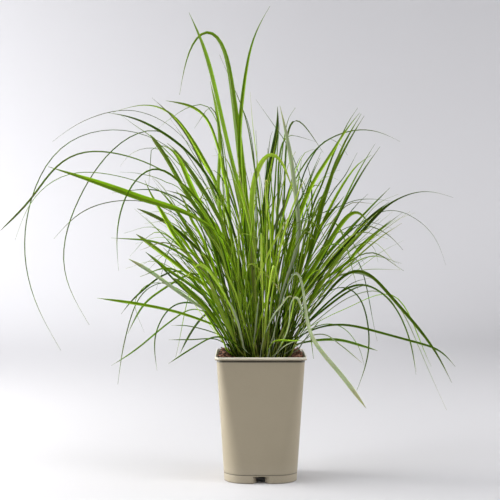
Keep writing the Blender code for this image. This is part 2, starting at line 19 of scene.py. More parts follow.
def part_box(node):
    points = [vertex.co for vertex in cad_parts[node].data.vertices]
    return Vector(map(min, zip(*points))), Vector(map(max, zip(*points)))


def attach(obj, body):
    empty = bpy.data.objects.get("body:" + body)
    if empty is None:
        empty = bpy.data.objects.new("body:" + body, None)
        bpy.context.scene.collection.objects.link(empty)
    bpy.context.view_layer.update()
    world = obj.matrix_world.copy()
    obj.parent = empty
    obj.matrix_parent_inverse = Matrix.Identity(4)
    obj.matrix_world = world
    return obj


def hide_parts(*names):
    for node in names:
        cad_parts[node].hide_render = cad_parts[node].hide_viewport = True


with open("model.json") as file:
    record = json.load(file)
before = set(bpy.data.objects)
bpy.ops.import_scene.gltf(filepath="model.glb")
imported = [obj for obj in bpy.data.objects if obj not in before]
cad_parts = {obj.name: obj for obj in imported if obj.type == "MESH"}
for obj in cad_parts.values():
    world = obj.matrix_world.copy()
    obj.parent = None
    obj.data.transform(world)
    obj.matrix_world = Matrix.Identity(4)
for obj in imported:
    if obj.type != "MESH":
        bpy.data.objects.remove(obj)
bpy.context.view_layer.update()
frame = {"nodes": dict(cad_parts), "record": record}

bl_info = {
    "name": "Potted Ornamental Grass",
    "version": (1, 0, 0),
    "blender": (4, 5, 0),
    "location": "3D View > Sidebar > Grass",
    "description": "Finishes the pot, the soil and the leaves of an ornamental grass clump",
    "category": "Object",
}

MM = 0.001
CM = 0.01
BODY = "root"
POT_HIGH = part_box("pot")[1]
SOIL_LOW, SOIL_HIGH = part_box("soil")
VIEWPOINT = Vector((-0.021, -2.5, 0.507))

# The pot's outline, as heights and insets in millimetres: the groove above its foot band, the step
# under its rim band, measured down from the band, and the rolled rim band itself
GROOVE = ((0, 0.15), (0.3, 0.9), (1.2, 1.0), (1.5, 0.25), (1.9, 0))
BAND_STEP = ((3.2, 0), (2.6, 0.5), (0.8, 0.9), (0, 0.9))
RIM_BAND = ((0, 1.0), (0.2, 0.5), (0.7, 0.15), (1.3, 0), (1.9, 0.15), (2.4, 0.6), (2.8, 1.0),
            (3.5, 1.1), (4.0, 0.8), (4.6, 0.3), (5.2, 0.05))
POT_CREASE = 38

# The soil: the least and most size of its crumbs and bark chips in millimetres, how rough they are,
# and the banks that it rises in along its sides and along its front and back. Each row gives their
# height, how far out they begin and how wide they rise, in millimetres.
CRUMB_RADIUS = (0.6, 1.7)
CHIP_SIZES = ((4, 11), (2.5, 6), (1, 2.6))
CRUMB_ROUGH = 0.45 * MM
CHIP_ROUGH = 0.9 * MM
BANKS = ((10, 56, 22), (5, 58, 20))
ROOT = SOIL_HIGH.z - 1 * MM    # height where the shoots start, just inside the soil

# Blade sections: the points across a blade, from its left edge to its right one
ACROSS = (-1.0, -0.52, 0.0, 0.52, 1.0)
ROUND = tuple((math.sin(s * math.pi / 2), math.cos(s * math.pi / 2)) for s in (-1, -0.5, 0, 0.5, 1))
SECTION_POINTS = 2 * len(ACROSS) - 2
TIP_HALF = 0.35 * MM
OPEN_SHARE = 0.22          # share of its length where a stem has opened into a blade
FULL_HALF = 2.2 * MM       # half of the width from which a blade has its full thickness
RIB_DIP = 0.35             # how far the midrib dips in the upper face, over half of the thickness
RIB_BULGE = 0.9            # and how far it stands out of the lower face
CURL = 1.3                 # power of the curve in which a blade's edges rise
MIDDLE_DIP = 0.4           # how far its middle lies below its course, over the rise of its edges
WITHERED_SHARE = 0.3       # share of the blades that have a withered tip
FOOT_GAP = 0.3 * MM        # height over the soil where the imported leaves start

# The stations of a leaf that bows over, as shares: how far out and how far up it is, how far along
# its course a straight one is, and how much of its sway it has
ARCH = ((0.16, 0.37, 0.3, 0.1), (0.42, 0.74, 0.62, 0.45), (0.74, 0.97, 0.86, 1.0))
GREEN, DARK, PALE, LIME, OLIVE, DEEP = range(6)
TONES = {"green": GREEN, "dark": DARK, "pale": PALE, "lime": LIME, "olive": OLIVE, "deep": DEEP}

# The long leaves whose blade isn't like most: its width over the solid's, the shares of its length
# where it is full and where it starts to narrow, how late the narrowing comes, its tone, how far its
# face is turned to the front, and how late it widens.
Look = namedtuple("Look", "fuller full narrows power tone face growth", defaults=(1.4,))
PLAIN = Look(1.0, 0.55, 0.78, 1.9, None, 0)
THREAD = Look(0.6, 0.35, 0.8, 1.5, "dark", 0)
LOOKS = {
    "tall_left": Look(1.0, 0.5, 0.84, 1.6, "deep", 0),
    "tall_left_second": Look(1.1, 0.6, 0.8, 2.0, None, 0.8),
    "tall_middle": Look(1.25, 0.42, 0.5, 1.0, "deep", 0.6),
    "tall_right": Look(1.25, 0.5, 0.66, 1.4, "deep", 0),
    "tall_thin": Look(0.9, 0.45, 0.6, 1.2, "dark", 0),
    "high_arch_left": Look(1.15, 0.85, 0.9, 1.6, None, 0.8, 2.0),
    "left_wide": Look(1.05, 0.7, 0.74, 1.6, "deep", 0, 4.5),
    "left_farthest": Look(0.8, 0.9, 0.93, 2.5, "dark", 0),
    "left_bowed": Look(1.1, 0.5, 0.8, 1.5, "dark", 0),
    "left_upper_bow": Look(2.4, 0.66, 0.68, 0.6, None, 0.9, 4.5),
    "left_upper_tip": Look(0.9, 0.5, 0.8, 2.0, "dark", 0),
    "left_upright": Look(1.0, 0.7, 0.93, 4.0, None, 0),
    "left_middle_blade": Look(1.1, 0.6, 0.88, 2.5, "deep", 0),
    "left_spread_blade": Look(1.1, 0.6, 0.88, 2.5, None, 0),
    "left_low_blade": Look(1.1, 0.6, 0.86, 2.5, None, 0),
    "left_low_tip": Look(1.1, 0.6, 0.86, 2.5, None, 0),
    "top_sharp": Look(1.4, 0.6, 0.82, 1.6, "dark", 0.8),
    "top_pale": Look(0.95, 0.6, 0.8, 1.6, "pale", 0.9),
    "top_crest": Look(1.6, 0.5, 0.7, 1.0, "lime", 0.5),
    "top_fine_arch": Look(0.95, 0.4, 0.85, 1.5, "dark", 0.5),
    "right_tall_blade": Look(1.05, 0.5, 0.72, 1.6, None, 0),
    "right_folded": Look(1.1, 0.5, 0.8, 1.6, None, 0),
    "right_upper_arch": Look(0.8, 0.4, 0.85, 1.5, "dark", 0),
    "right_long_arch": Look(0.9, 0.45, 0.7, 0.5, "dark", 0),
    "right_long_droop": Look(0.8, 0.45, 0.6, 1.0, None, 0),
    "right_big_arch": Look(0.75, 0.45, 0.74, 1.6, "deep", 0),
    "right_lowest": Look(1.0, 0.55, 0.78, 1.9, "dark", 0),
    "front_pale": Look(0.95, 0.85, 0.9, 2.0, "pale", 0),
}
LOOKS.update(dict.fromkeys((
    "left_far_low", "left_thread", "left_outer_droop", "left_long_hanging", "left_high_thread",
    "left_lowest_thread", "right_thread", "right_bow", "right_hook"), THREAD))

# The shoots that only fill the clump: their outline, half of their width in millimetres with how
# many have it, and how many have each tone behind and in front. Those behind have more of the dark,
# shaded tone and fewer of the lime, lit one: painted shade and light by depth.
SHOOT = Look(1.0, 0.66, 0.74, 1.6, None, 0, 1.7)
SHOOT_HALVES = (1.0, 1.35, 1.75, 2.1, 2.7, 3.4)
HALF_WEIGHTS = (5, 6, 5, 4, 2, 1)
BEHIND_TONES = (14, 20, 0, 4, 2, 10)
FRONT_TONES = (17, 15, 1, 10, 2, 8)

# How the shoots stray from their tuft's courses. A slope is a middle and a spread in degrees.
CROWN_SPREAD = 16          # of their feet, in millimetres
HEADING_SPREAD = 28        # of their headings, in degrees
SHORTER = (-0.18, 0.4)     # least and most share of the length that they are shorter by
STEEPER = (7, 9)           # how much steeper they rise
LOWEST_RIGHT = (48, 4)     # least slope of those that lean to the right
LOWEST = (58, 4)           # and of the others
TO_THE_RIGHT = 0.3         # cosine of the heading from which a shoot leans to the right
CROSSING_SHARE = 0.45      # share of them that cross the clump in any direction
CROSSING_STEEP = (68, 7)   # their slope
SWAY_SPREAD = 28           # of their bend to one side, in millimetres
MOST_TURN = 75             # of a blade round its own course, in degrees
BEHIND = 10 * MM           # depth from which a shoot has the tones behind

# The tufts that stand so thick that each of their courses carries more leaves
MORE_SHOOTS = {"left": 3, "right": 4, "front_left": 1, "back_right": 2}
SHEATHS = 7                # dry sheaths round the feet of each tuft

# The blades inside the clump that stand out one by one, by the tuft that they grow in. Each row
# gives the blade's width in millimetres, how far its tip lies behind the pot's middle in
# centimetres, how far it is turned towards the front in degrees, its tone, and the points that it
# passes from low down to its tip, in centimetres across and above the ground, seen from the front.
Blade = namedtuple("Blade", "width depth turn tone points")
BLADES = {
    "left": (
        Blade(7, -6, 60, "green", ((-9.7, 35.6), (-12.8, 42.1), (-15.4, 45.9), (-17.5, 48.7),
              (-18.8, 51.1), (-20.6, 54.5), (-22, 56.9), (-23.2, 59.7))),
        Blade(6, -3, 55, "green", ((-8.9, 36.4), (-11.5, 42.2), (-14.3, 45.9), (-15.8, 47.9),
              (-18.1, 50.8), (-19.9, 53.9), (-21, 55.1))),
        Blade(4, 8, 40, "dark", ((-9.1, 46.7), (-13, 54.5), (-15.6, 58.3), (-16.9, 60.5), (-18.6, 63.1),
              (-20.4, 66.8))),
        Blade(10, -10, 80, "green", ((-7.7, 46.7), (-10.2, 51.5), (-13.1, 56.8), (-15.6, 62.5),
              (-16.7, 64.5), (-18, 65.9), (-19.6, 66.6))),
        Blade(3.5, 10, 35, "dark", ((-7.5, 52.7), (-10.4, 59.8), (-13.6, 65.2), (-15.6, 68.5),
              (-18.1, 72))),
        Blade(8, -5, 70, "green", ((-6.9, 48.7), (-9.4, 54.1), (-12.4, 59.1), (-15.6, 63.8),
              (-16.9, 65.5), (-18.7, 67.1))),
        Blade(3, 5, 40, "dark", ((-8.1, 46.7), (-12.1, 57.7), (-17.2, 63.8), (-22.2, 68.6), (-24.8, 70.4),
              (-27.8, 72.6))),
        Blade(3, -4, 40, "dark", ((-8.9, 46.7), (-11.1, 52.7), (-14.2, 59.8), (-16.4, 64.8),
              (-17.8, 65.8), (-19.8, 66.6), (-21.8, 65.8), (-22, 63.6), (-22.4, 58.7))),
        Blade(2.5, 8, 40, "dark", ((-9.7, 46.7), (-13.2, 54.7), (-17.2, 62.8), (-20.2, 65.8), (-23.4, 66),
              (-26.2, 64.8), (-28.2, 62.4))),
        Blade(6, -7, 60, "dark", ((-8.5, 42.7), (-11.1, 50.7), (-13.8, 55.3), (-15.8, 56.7),
              (-19, 57.7))),
        Blade(4, -2, 40, "green", ((-9.3, 41.3), (-11.5, 45.9), (-14.3, 50.1), (-16.1, 52.3),
              (-17.6, 53.9))),
        Blade(2.5, 4, 30, "lime", ((-13.8, 35.6), (-16.3, 40.3), (-17.5, 42.5), (-18.8, 44.7))),
        Blade(3.5, -4, 45, "dark", ((-6.9, 26.6), (-9, 27.7), (-14.2, 27.6), (-18.5, 27.6))),
        Blade(3.5, 6, 45, "dark", ((-7.3, 28), (-9.9, 29.2), (-14.8, 30.4), (-17.9, 30.5))),
        Blade(3.5, 9, 40, "dark", ((-6.9, 62.7), (-8.3, 70.2), (-10.9, 74.6), (-13.4, 74.6),
              (-15.4, 73.8), (-18.1, 72), (-20.2, 70.3), (-21.2, 69.3))),
        Blade(2.5, 10, 35, "dark", ((-9.7, 32), (-14.2, 36.4), (-19.2, 38.9), (-22.6, 38.7),
              (-24.8, 36.4), (-25.2, 34.5), (-24.8, 32.7), (-23.3, 29))),
        Blade(3, 7, 35, "dark", ((-11.1, 50.7), (-14.2, 55.7), (-16.9, 58.5), (-19, 59.3), (-20.7, 60.1),
              (-24.9, 61.1), (-28.2, 61.3))),
        Blade(3.5, -8, 45, "dark", ((-10.5, 50.1), (-15.2, 55.1), (-17.9, 56.6), (-20.7, 57.6),
              (-23.2, 57.8), (-26.2, 57.6), (-29.8, 57.1))),
    ),
    "middle": (
        Blade(6, -4, 60, "green", ((-5.9, 48.7), (-6.4, 54.3), (-6.9, 58.8), (-7.6, 61.5), (-7.9, 64.5),
              (-8.2, 67.8))),
        Blade(4.5, 6, 30, "dark", ((-2.1, 48.7), (-2.4, 53), (-2.9, 59.6), (-3, 63.1))),
        Blade(10.5, -7, 75, "dark", ((2.3, 35.6), (2.1, 43.1), (1.8, 45.9), (2.5, 49), (3.5, 51.5),
              (4.9, 54.9), (5.7, 58.1))),
        Blade(6, -3, 50, "green", ((1.5, 40.7), (1.8, 46.6), (2, 49.4), (1.3, 54.9), (0.7, 60.1))),
        Blade(3, -9, 70, "lime", ((3.1, 43.3), (3.9, 48.1), (4.9, 50), (6.8, 50.4), (8.3, 50.1),
              (9.1, 49.5))),
        Blade(3, -10, 70, "lime", ((-5.9, 43.3), (-5.3, 47.1), (-4.6, 48.5), (-3.5, 48.9), (-2.5, 48.8),
              (-0.1, 47.7), (0.7, 47.1), (1.3, 45.7))),
        Blade(5, 6, 60, "dark", ((-7.3, 61.7), (-8.1, 68.8), (-9.1, 73.2), (-10.3, 74.4), (-11.2, 73.1),
              (-13.2, 70.1))),
        Blade(3, 9, 30, "dark", ((-0.9, 57.7), (-1.5, 65.8), (-2.5, 71.1), (-3.6, 74), (-4.6, 76.3),
              (-5.7, 79.4))),
    ),
    "front_left": (
        Blade(6, -9, 55, "green", ((-8.9, 40.3), (-10.2, 44.5), (-12.3, 49.1), (-13.8, 51.6),
              (-15.4, 55.7), (-17, 57.7))),
        Blade(4, -11, 45, "dark", ((-7.7, 30.6), (-9.5, 34), (-11.7, 37.5), (-13.2, 39.5),
              (-13.8, 40.9))),
        Blade(4, -13, 45, "dark", ((-12.1, 34.8), (-15, 37.4), (-17.2, 39.5), (-20.1, 42.5),
              (-22.2, 44.5))),
        Blade(9, -12, 75, "green", ((-9.3, 32), (-11.5, 34.8), (-13.8, 36.9), (-16.2, 39.2),
              (-18, 40.3))),
        Blade(9, -12, 72, "lime", ((-4.4, 25.6), (-5.7, 28.9), (-7.1, 31.8), (-8.3, 34.6), (-9.1, 36.6),
              (-10.3, 39.7))),
        Blade(5, -6, 50, "green", ((-6.5, 25.2), (-7.5, 27.4), (-9.1, 29.8), (-10.6, 32.3), (-12.6, 35))),
        Blade(5, -13, 60, "pale", ((-3.1, 25.6), (-3.6, 27.4), (-4.5, 31.2), (-5.5, 33.8), (-6.5, 35.6))),
    ),
    "front": (
        Blade(7, -8, 60, "olive", ((-0.2, 26.6), (-0.2, 30.4), (-1.1, 35), (-1.4, 39.7), (-1.7, 43.3),
              (-1.9, 47.7))),
        Blade(4.5, -15, 70, "lime", ((-2.9, 35.6), (-2.8, 40.7), (-2, 42.9), (0.4, 41.3), (2.1, 39.7),
              (3.3, 38.3), (4.2, 36.1))),
        Blade(5, -14, 78, "pale", ((0.3, 26.6), (1.7, 30.6), (2.9, 32.9), (4.4, 34.7), (5.5, 36.2),
              (6.2, 36.4), (6.6, 35.6))),
        Blade(5, -17, 80, "pale", ((5.5, 29.6), (6.1, 34.6), (6.9, 36.1), (7.5, 35.9), (8, 34.8),
              (8.4, 33.2), (8.3, 31.7))),
        Blade(6, -13, 70, "lime", ((4.1, 26.2), (5.1, 28.6), (6.1, 32), (6.6, 34.6), (6.7, 36.9))),
        Blade(4, -12, 60, "lime", ((-2.5, 28.6), (-3.9, 33.5), (-4.9, 36.9), (-6, 39.4), (-7.7, 42.5))),
        Blade(5, -13, 60, "pale", ((-1.3, 26.6), (-1.2, 28.1), (-0.8, 31.2), (-0.5, 34.3), (-0.2, 36.4))),
        Blade(5, -10, 60, "lime", ((3.2, 25.2), (4.7, 28.1), (5.7, 30.9), (6.3, 33.6))),
        Blade(3.5, -15, 60, "deep", ((1.5, 25.6), (2.7, 27.2), (4.1, 27.5), (6.3, 27.4), (8.4, 27.5))),
        Blade(4, -13, 45, "pale", ((3.2, 24.8), (4.7, 26.2), (6.4, 27.1), (7.3, 27.4))),
        Blade(4.5, -9, 50, "green", ((0.8, 25.6), (0.8, 26.6), (1.4, 29.7), (2.6, 32.3), (4, 35.8))),
    ),
    "right": (
        Blade(7, 5, 60, "green", ((7.9, 41.7), (10.5, 47.9), (13.4, 52.2), (15.6, 54.9), (16.8, 56.5))),
        Blade(8, -2, 65, "green", ((9.5, 43.3), (10.7, 47.7), (11.7, 51.3), (12.5, 54.7), (14, 59.6),
              (15.2, 63.4), (17, 67.4))),
        Blade(3, -6, 30, "dark", ((4.5, 43.3), (5.9, 48.7), (7.9, 51.5), (11.1, 52.7), (14.2, 53.7),
              (17, 54.9), (19.4, 55.7), (22.4, 55.9), (26.2, 55.5))),
        Blade(6, -3, 60, "green", ((11.9, 38.7), (15, 41.3), (18, 43.7), (20, 46.3), (26.2, 51.7))),
        Blade(7, 2, 60, "dark", ((13, 41.7), (17, 46.5), (20.4, 50.5), (23.2, 53.3), (25.8, 55.3))),
        Blade(3, 10, 30, "dark", ((8.9, 47.7), (11.9, 53), (14.9, 57.9), (16.9, 60.5), (19.4, 65.2))),
        Blade(3, -8, 30, "dark", ((5.1, 50.1), (7.6, 51.2), (10.4, 52.3), (12.6, 53.2), (16.2, 55.1))),
        Blade(3.5, -9, 70, "lime", ((7.5, 43.3), (8.1, 48.1), (9.1, 49.5), (11, 47.5), (12.4, 46.7),
              (14.7, 43.8))),
        Blade(2.5, -7, 60, "lime", ((8.7, 47.7), (9.2, 51.5), (10, 52.3), (11, 50.8), (11.9, 49.3),
              (14, 47.3))),
        Blade(3, -5, 45, "pale", ((5.1, 25.6), (7.3, 29), (9.3, 31.6), (11.5, 34))),
        Blade(3, 3, 45, "pale", ((7.1, 25.2), (8.5, 27), (10.3, 29.4), (12.3, 32))),
        Blade(4, 7, 45, "green", ((10.3, 53.7), (12.3, 58.7), (14.6, 64.8), (16.4, 68.8), (17.8, 71.6),
              (19.5, 74.2))),
        Blade(3.5, 12, 35, "dark", ((9.5, 32.6), (13, 37.6), (17, 42.7), (21, 46.7), (24.6, 50.1),
              (28.6, 53.3))),
        Blade(3, -9, 40, "dark", ((11.5, 35.6), (16, 43.3), (19.4, 46.5), (21.6, 47.1), (23, 45.7),
              (23.6, 43.3))),
        Blade(3, 15, 35, "pale", ((11.5, 31.6), (18, 36.2), (23, 37.4), (25.6, 36.2), (27.4, 33.8),
              (30, 28), (31.4, 21.2))),
        Blade(3, -8, 45, "pale", ((7.1, 26.2), (10.3, 28.4), (13, 28.6), (16, 26.6), (20.4, 23))),
        Blade(3, 11, 40, "dark", ((9.1, 29), (12.3, 30.6), (15.2, 30.6), (17.6, 29.2), (19.9, 25.8),
              (21, 22))),
        Blade(2.5, 8, 35, "pale", ((11.5, 34.6), (14.6, 38.5), (17.4, 40.7), (21.2, 41.7), (28, 41.7))),
    ),
    "back_right": (
        Blade(5, 3, 60, "green", ((8.9, 44.7), (11.5, 52.7), (13.8, 59.6), (16.8, 67), (20.2, 73))),
        Blade(3, 8, 30, "dark", ((10.3, 47.7), (10.3, 52.7), (10.3, 56.1), (10.1, 59.7), (9.3, 63.4))),
        Blade(2.5, 12, 30, "dark", ((9.7, 50.7), (9.2, 54.8), (8.5, 57.9), (7.9, 60.4))),
        Blade(2.5, 9, 30, "dark", ((7.5, 53.7), (8.9, 57.7), (10.4, 61.3), (12.2, 65.4))),
        Blade(3, 14, 30, "dark", ((7.9, 58.1), (9.7, 63.1), (11.7, 66.3), (13.9, 68), (14.8, 67.6),
              (16.4, 66.4), (17.4, 64.7))),
    ),
    "back": (
        Blade(2.5, 9, 30, "dark", ((2.3, 50.7), (2.7, 56.1), (2.9, 59.7), (3.3, 63.6))),
        Blade(2.5, 7, 30, "dark", ((0.3, 51.3), (2.5, 55.2), (3.3, 56.9), (5.1, 60))),
        Blade(4, 10, 40, "dark", ((3.5, 55.7), (3.7, 62.7), (4.5, 67.2), (5.7, 68.6), (7.3, 68.5),
              (9.1, 68), (11, 67.4))),
        Blade(2.5, 12, 30, "dark", ((3.7, 55.7), (4.1, 62.7), (4.7, 67.8), (5.7, 72.2), (7, 74.2))),
        Blade(3, 13, 30, "dark", ((8.5, 55.7), (6.7, 63.8), (4.7, 67.8), (2.9, 70.4), (-0.9, 75.8))),
    ),
}

# The tufts. Each row gives the tuft's name, where it stands in the crown in centimetres, and the
# courses that its leaves follow: heading in degrees from +X, reach and height in centimetres, and
# how far the tip drops below the top of its arch.
Tuft = namedtuple("Tuft", "name place courses")
TUFTS = (
    Tuft("middle", (0.2, 0.4), (
        (80, 7, 70, 0), (160, 12, 66, 1), (250, 9, 62, 0), (350, 11, 67, 1), (35, 16, 60, 3),
        (200, 17, 57, 3), (300, 15, 58, 2), (125, 14, 63, 2))),
    Tuft("front", (0.4, -3.4), (
        (270, 30, 50, 9), (245, 24, 56, 4), (295, 27, 52, 7), (225, 28, 47, 5),
        (315, 28, 48, 6), (260, 16, 60, 1), (285, 19, 60, 2), (275, 33, 44, 5))),
    Tuft("back", (0.0, 4.0), (
        (90, 32, 56, 14), (70, 27, 62, 6), (110, 29, 60, 8), (50, 34, 52, 16),
        (130, 35, 50, 14), (85, 17, 68, 1), (100, 22, 64, 3), (75, 38, 40, 16),
        (118, 39, 38, 18))),
    Tuft("left", (-3.6, 0.6), (
        (180, 20, 54, 1), (165, 25, 51, 2), (195, 22, 49, 2), (150, 28, 50, 6),
        (210, 26, 46, 3), (172, 14, 60, 0), (188, 23, 44, 2), (140, 24, 56, 4))),
    Tuft("right", (3.8, 0.6), (
        (0, 19, 56, 1), (15, 25, 52, 2), (345, 22, 50, 2), (30, 30, 48, 7),
        (330, 27, 46, 4), (8, 13, 62, 0), (352, 24, 45, 2), (42, 23, 58, 4))),
    Tuft("front_left", (-2.6, -2.6), (
        (225, 24, 48, 2), (205, 20, 52, 1), (245, 28, 44, 4), (215, 24, 43, 2),
        (235, 14, 56, 0))),
    Tuft("back_right", (2.6, 3.2), (
        (45, 30, 50, 8), (60, 40, 44, 20), (28, 38, 36, 16), (52, 20, 62, 2), (75, 33, 34, 14))),
)


class GRASS_PG_pot(bpy.types.PropertyGroup):
    """Sizes and colour of the pot."""

    rim_band: FloatProperty(name="Rim band", description="Height of the rim's band",
                            default=6.4 * MM, min=3 * MM, unit="LENGTH")
    rim_radius: FloatProperty(name="Rim corner", description="Corner radius of the rim",
                              default=12 * MM, unit="LENGTH")
    body_half_top: FloatProperty(name="Half width under the rim",
                                 description="Half of the body's width just under the rim",
                                 default=86.5 * MM, unit="LENGTH")
    body_half_foot: FloatProperty(name="Half width at the foot",
                                  description="Half of the body's width at the ground",
                                  default=72.2 * MM, unit="LENGTH")
    radius_top: FloatProperty(name="Corner under the rim", description="Body's corner radius at the top",
                              default=14 * MM, unit="LENGTH")
    radius_foot: FloatProperty(name="Corner at the foot", description="Body's corner radius at the foot",
                               default=46 * MM, unit="LENGTH")
    wall: FloatProperty(name="Wall", description="Thickness of the wall", default=2 * MM, unit="LENGTH")
    foot_band: FloatProperty(name="Foot band", description="Height of the groove above the ground",
                             default=16 * MM, unit="LENGTH")
    corner_steps: IntProperty(name="Corner steps", description="Faces round each corner",
                              default=14, min=3)
    colour: FloatVectorProperty(name="Plastic", description="Colour of the moulded plastic",
                                default=(0.290, 0.249, 0.173), subtype="COLOR", min=0, max=1)


class GRASS_PG_soil(bpy.types.PropertyGroup):
    """Grain and colours of the soil."""

    grid: IntProperty(name="Surface steps", description="Faces across the soil's surface",
                      default=110, min=20)
    lump: FloatProperty(name="Lumps", description="Height of the lumps", default=3.2 * MM, unit="LENGTH")
    chips: IntProperty(name="Bark chips", description="Number of bark chips", default=300, min=0)
    crumbs: IntProperty(name="Crumbs", description="Number of peat crumbs", default=900, min=0)
    seed: IntProperty(name="Seed", description="Seed of the chips' spread and lumps", default=5)
    peat: FloatVectorProperty(name="Peat", description="Colour of the peat",
                              default=(0.040, 0.022, 0.014), subtype="COLOR", min=0, max=1)
    bark: FloatVectorProperty(name="Bark", description="Colour of the bark chips",
                              default=(0.270, 0.125, 0.080), subtype="COLOR", min=0, max=1)


class GRASS_PG_leaves(bpy.types.PropertyGroup):
    """Sizes and colours of the leaves."""

    stations: IntProperty(name="Long leaf stations", description="Sections along a long leaf",
                          default=48, min=8)
    tuft_stations: IntProperty(name="Tuft leaf stations", description="Sections along a tuft's leaf",
                               default=26, min=6)
    copies: IntProperty(name="Leaves per course", description="Leaves that follow each tuft course",
                        default=3, min=1)
    blade: FloatProperty(name="Blade thickness", description="Thickness of a blade",
                         default=0.42 * MM, unit="LENGTH")
    stem: FloatProperty(name="Stem radius", description="Half of the stem's width at the soil",
                        default=1.5 * MM, unit="LENGTH")
    fold: FloatProperty(name="Fold", description="Rise of a blade's edges over half of its width",
                        default=0.55, min=0, max=1)
    crown: FloatProperty(name="Crown radius", description="Radius that the stems stand in",
                         default=55 * MM, unit="LENGTH")
    seed: IntProperty(name="Seed", description="Seed of the leaves' spread", default=11)
    green: FloatVectorProperty(name="Green", description="Colour of a green leaf",
                               default=(0.330, 0.560, 0.010), subtype="COLOR", min=0, max=1)
    dark: FloatVectorProperty(name="Dark green", description="Colour of a leaf in the shade",
                              default=(0.140, 0.260, 0.006), subtype="COLOR", min=0, max=1)
    pale: FloatVectorProperty(name="Pale green", description="Colour of a leaf's pale side",
                              default=(0.390, 0.440, 0.270), subtype="COLOR", min=0, max=1)
    lime: FloatVectorProperty(name="Lime", description="Colour of a young, lit leaf",
                              default=(0.400, 0.570, 0.050), subtype="COLOR", min=0, max=1)
    dry: FloatVectorProperty(name="Dry", description="Colour of a dry tip or sheath",
                             default=(0.330, 0.270, 0.120), subtype="COLOR", min=0, max=1)


class GRASS_PG_stage(bpy.types.PropertyGroup):
    """Camera, floor and lights."""

    focal: FloatProperty(name="Focal length", description="Lens of the camera in millimetres",
                         default=89.64, min=10)
    pitch: FloatProperty(name="Pitch", description="How far the camera looks down",
                         default=math.radians(1.15), subtype="ANGLE")
    floor_radius: FloatProperty(name="Floor radius", description="Radius of the level floor",
                                default=3.0, unit="LENGTH")
    cove_radius: FloatProperty(name="Cove radius", description="Radius of the curve up to the wall",
                               default=5.2, unit="LENGTH")
    paper: FloatVectorProperty(name="Paper", description="Colour of the floor and backdrop",
                               default=(0.64, 0.636, 0.66), subtype="COLOR", min=0, max=1)


GROUPS = {
    "grass_pot": GRASS_PG_pot,
    "grass_soil": GRASS_PG_soil,
    "grass_leaves": GRASS_PG_leaves,
    "grass_stage": GRASS_PG_stage,
}


def blend(low, high, share):
    """Mix two numbers or vectors."""
    return low + (high - low) * share


def ease(share):
    """Rise smoothly from 0 to 1 as the share does."""
    share = min(max(share, 0), 1)
    return share * share * (3 - 2 * share)


def between(low, high, low_knot, high_knot, knot):
    """Return what lies between two rows, at a knot between theirs."""
    return ((high_knot - knot) * low + (knot - low_knot) * high) / (high_knot - low_knot)


def smooth_rows(rows, stations, softened=0):
    """Return rows of numbers along a smooth curve through the given rows, evenly spaced.

    The first three numbers of a row are a place, and the others go along with it. The curve is
    softened as many times as asked, which rounds off what is left of the corners.
    """
    rows = np.array(rows, float)
    rows = np.vstack((2 * rows[0] - rows[1], rows, 2 * rows[-1] - rows[-2]))
    gaps = np.linalg.norm(np.diff(rows[:, :3], axis=0), axis=1) ** 0.5
    knots = np.concatenate(([0.0], np.cumsum(np.maximum(gaps, 1e-4))))
    fine_steps = 12
    dense = []
    for span in range(1, len(rows) - 2):
        k0, k1, k2, k3 = knots[span - 1:span + 3]
        for t in np.linspace(k1, k2, fine_steps, endpoint=False):
            before = between(rows[span - 1], rows[span], k0, k1, t)
            here = between(rows[span], rows[span + 1], k1, k2, t)
            after = between(rows[span + 1], rows[span + 2], k2, k3, t)
            dense.append(between(between(before, here, k0, k2, t), between(here, after, k1, k3, t),
                                 k1, k2, t))
    dense.append(rows[-2])
    dense = np.array(dense)
    travelled = np.concatenate(
        ([0.0], np.cumsum(np.linalg.norm(np.diff(dense[:, :3], axis=0), axis=1))))
    wanted = np.linspace(0, travelled[-1], stations + 1)
    even = np.column_stack([np.interp(wanted, travelled, column) for column in dense.T])
    for _ in range(softened):
        even[1:-1] = 0.25 * even[:-2] + 0.5 * even[1:-1] + 0.25 * even[2:]
    return even


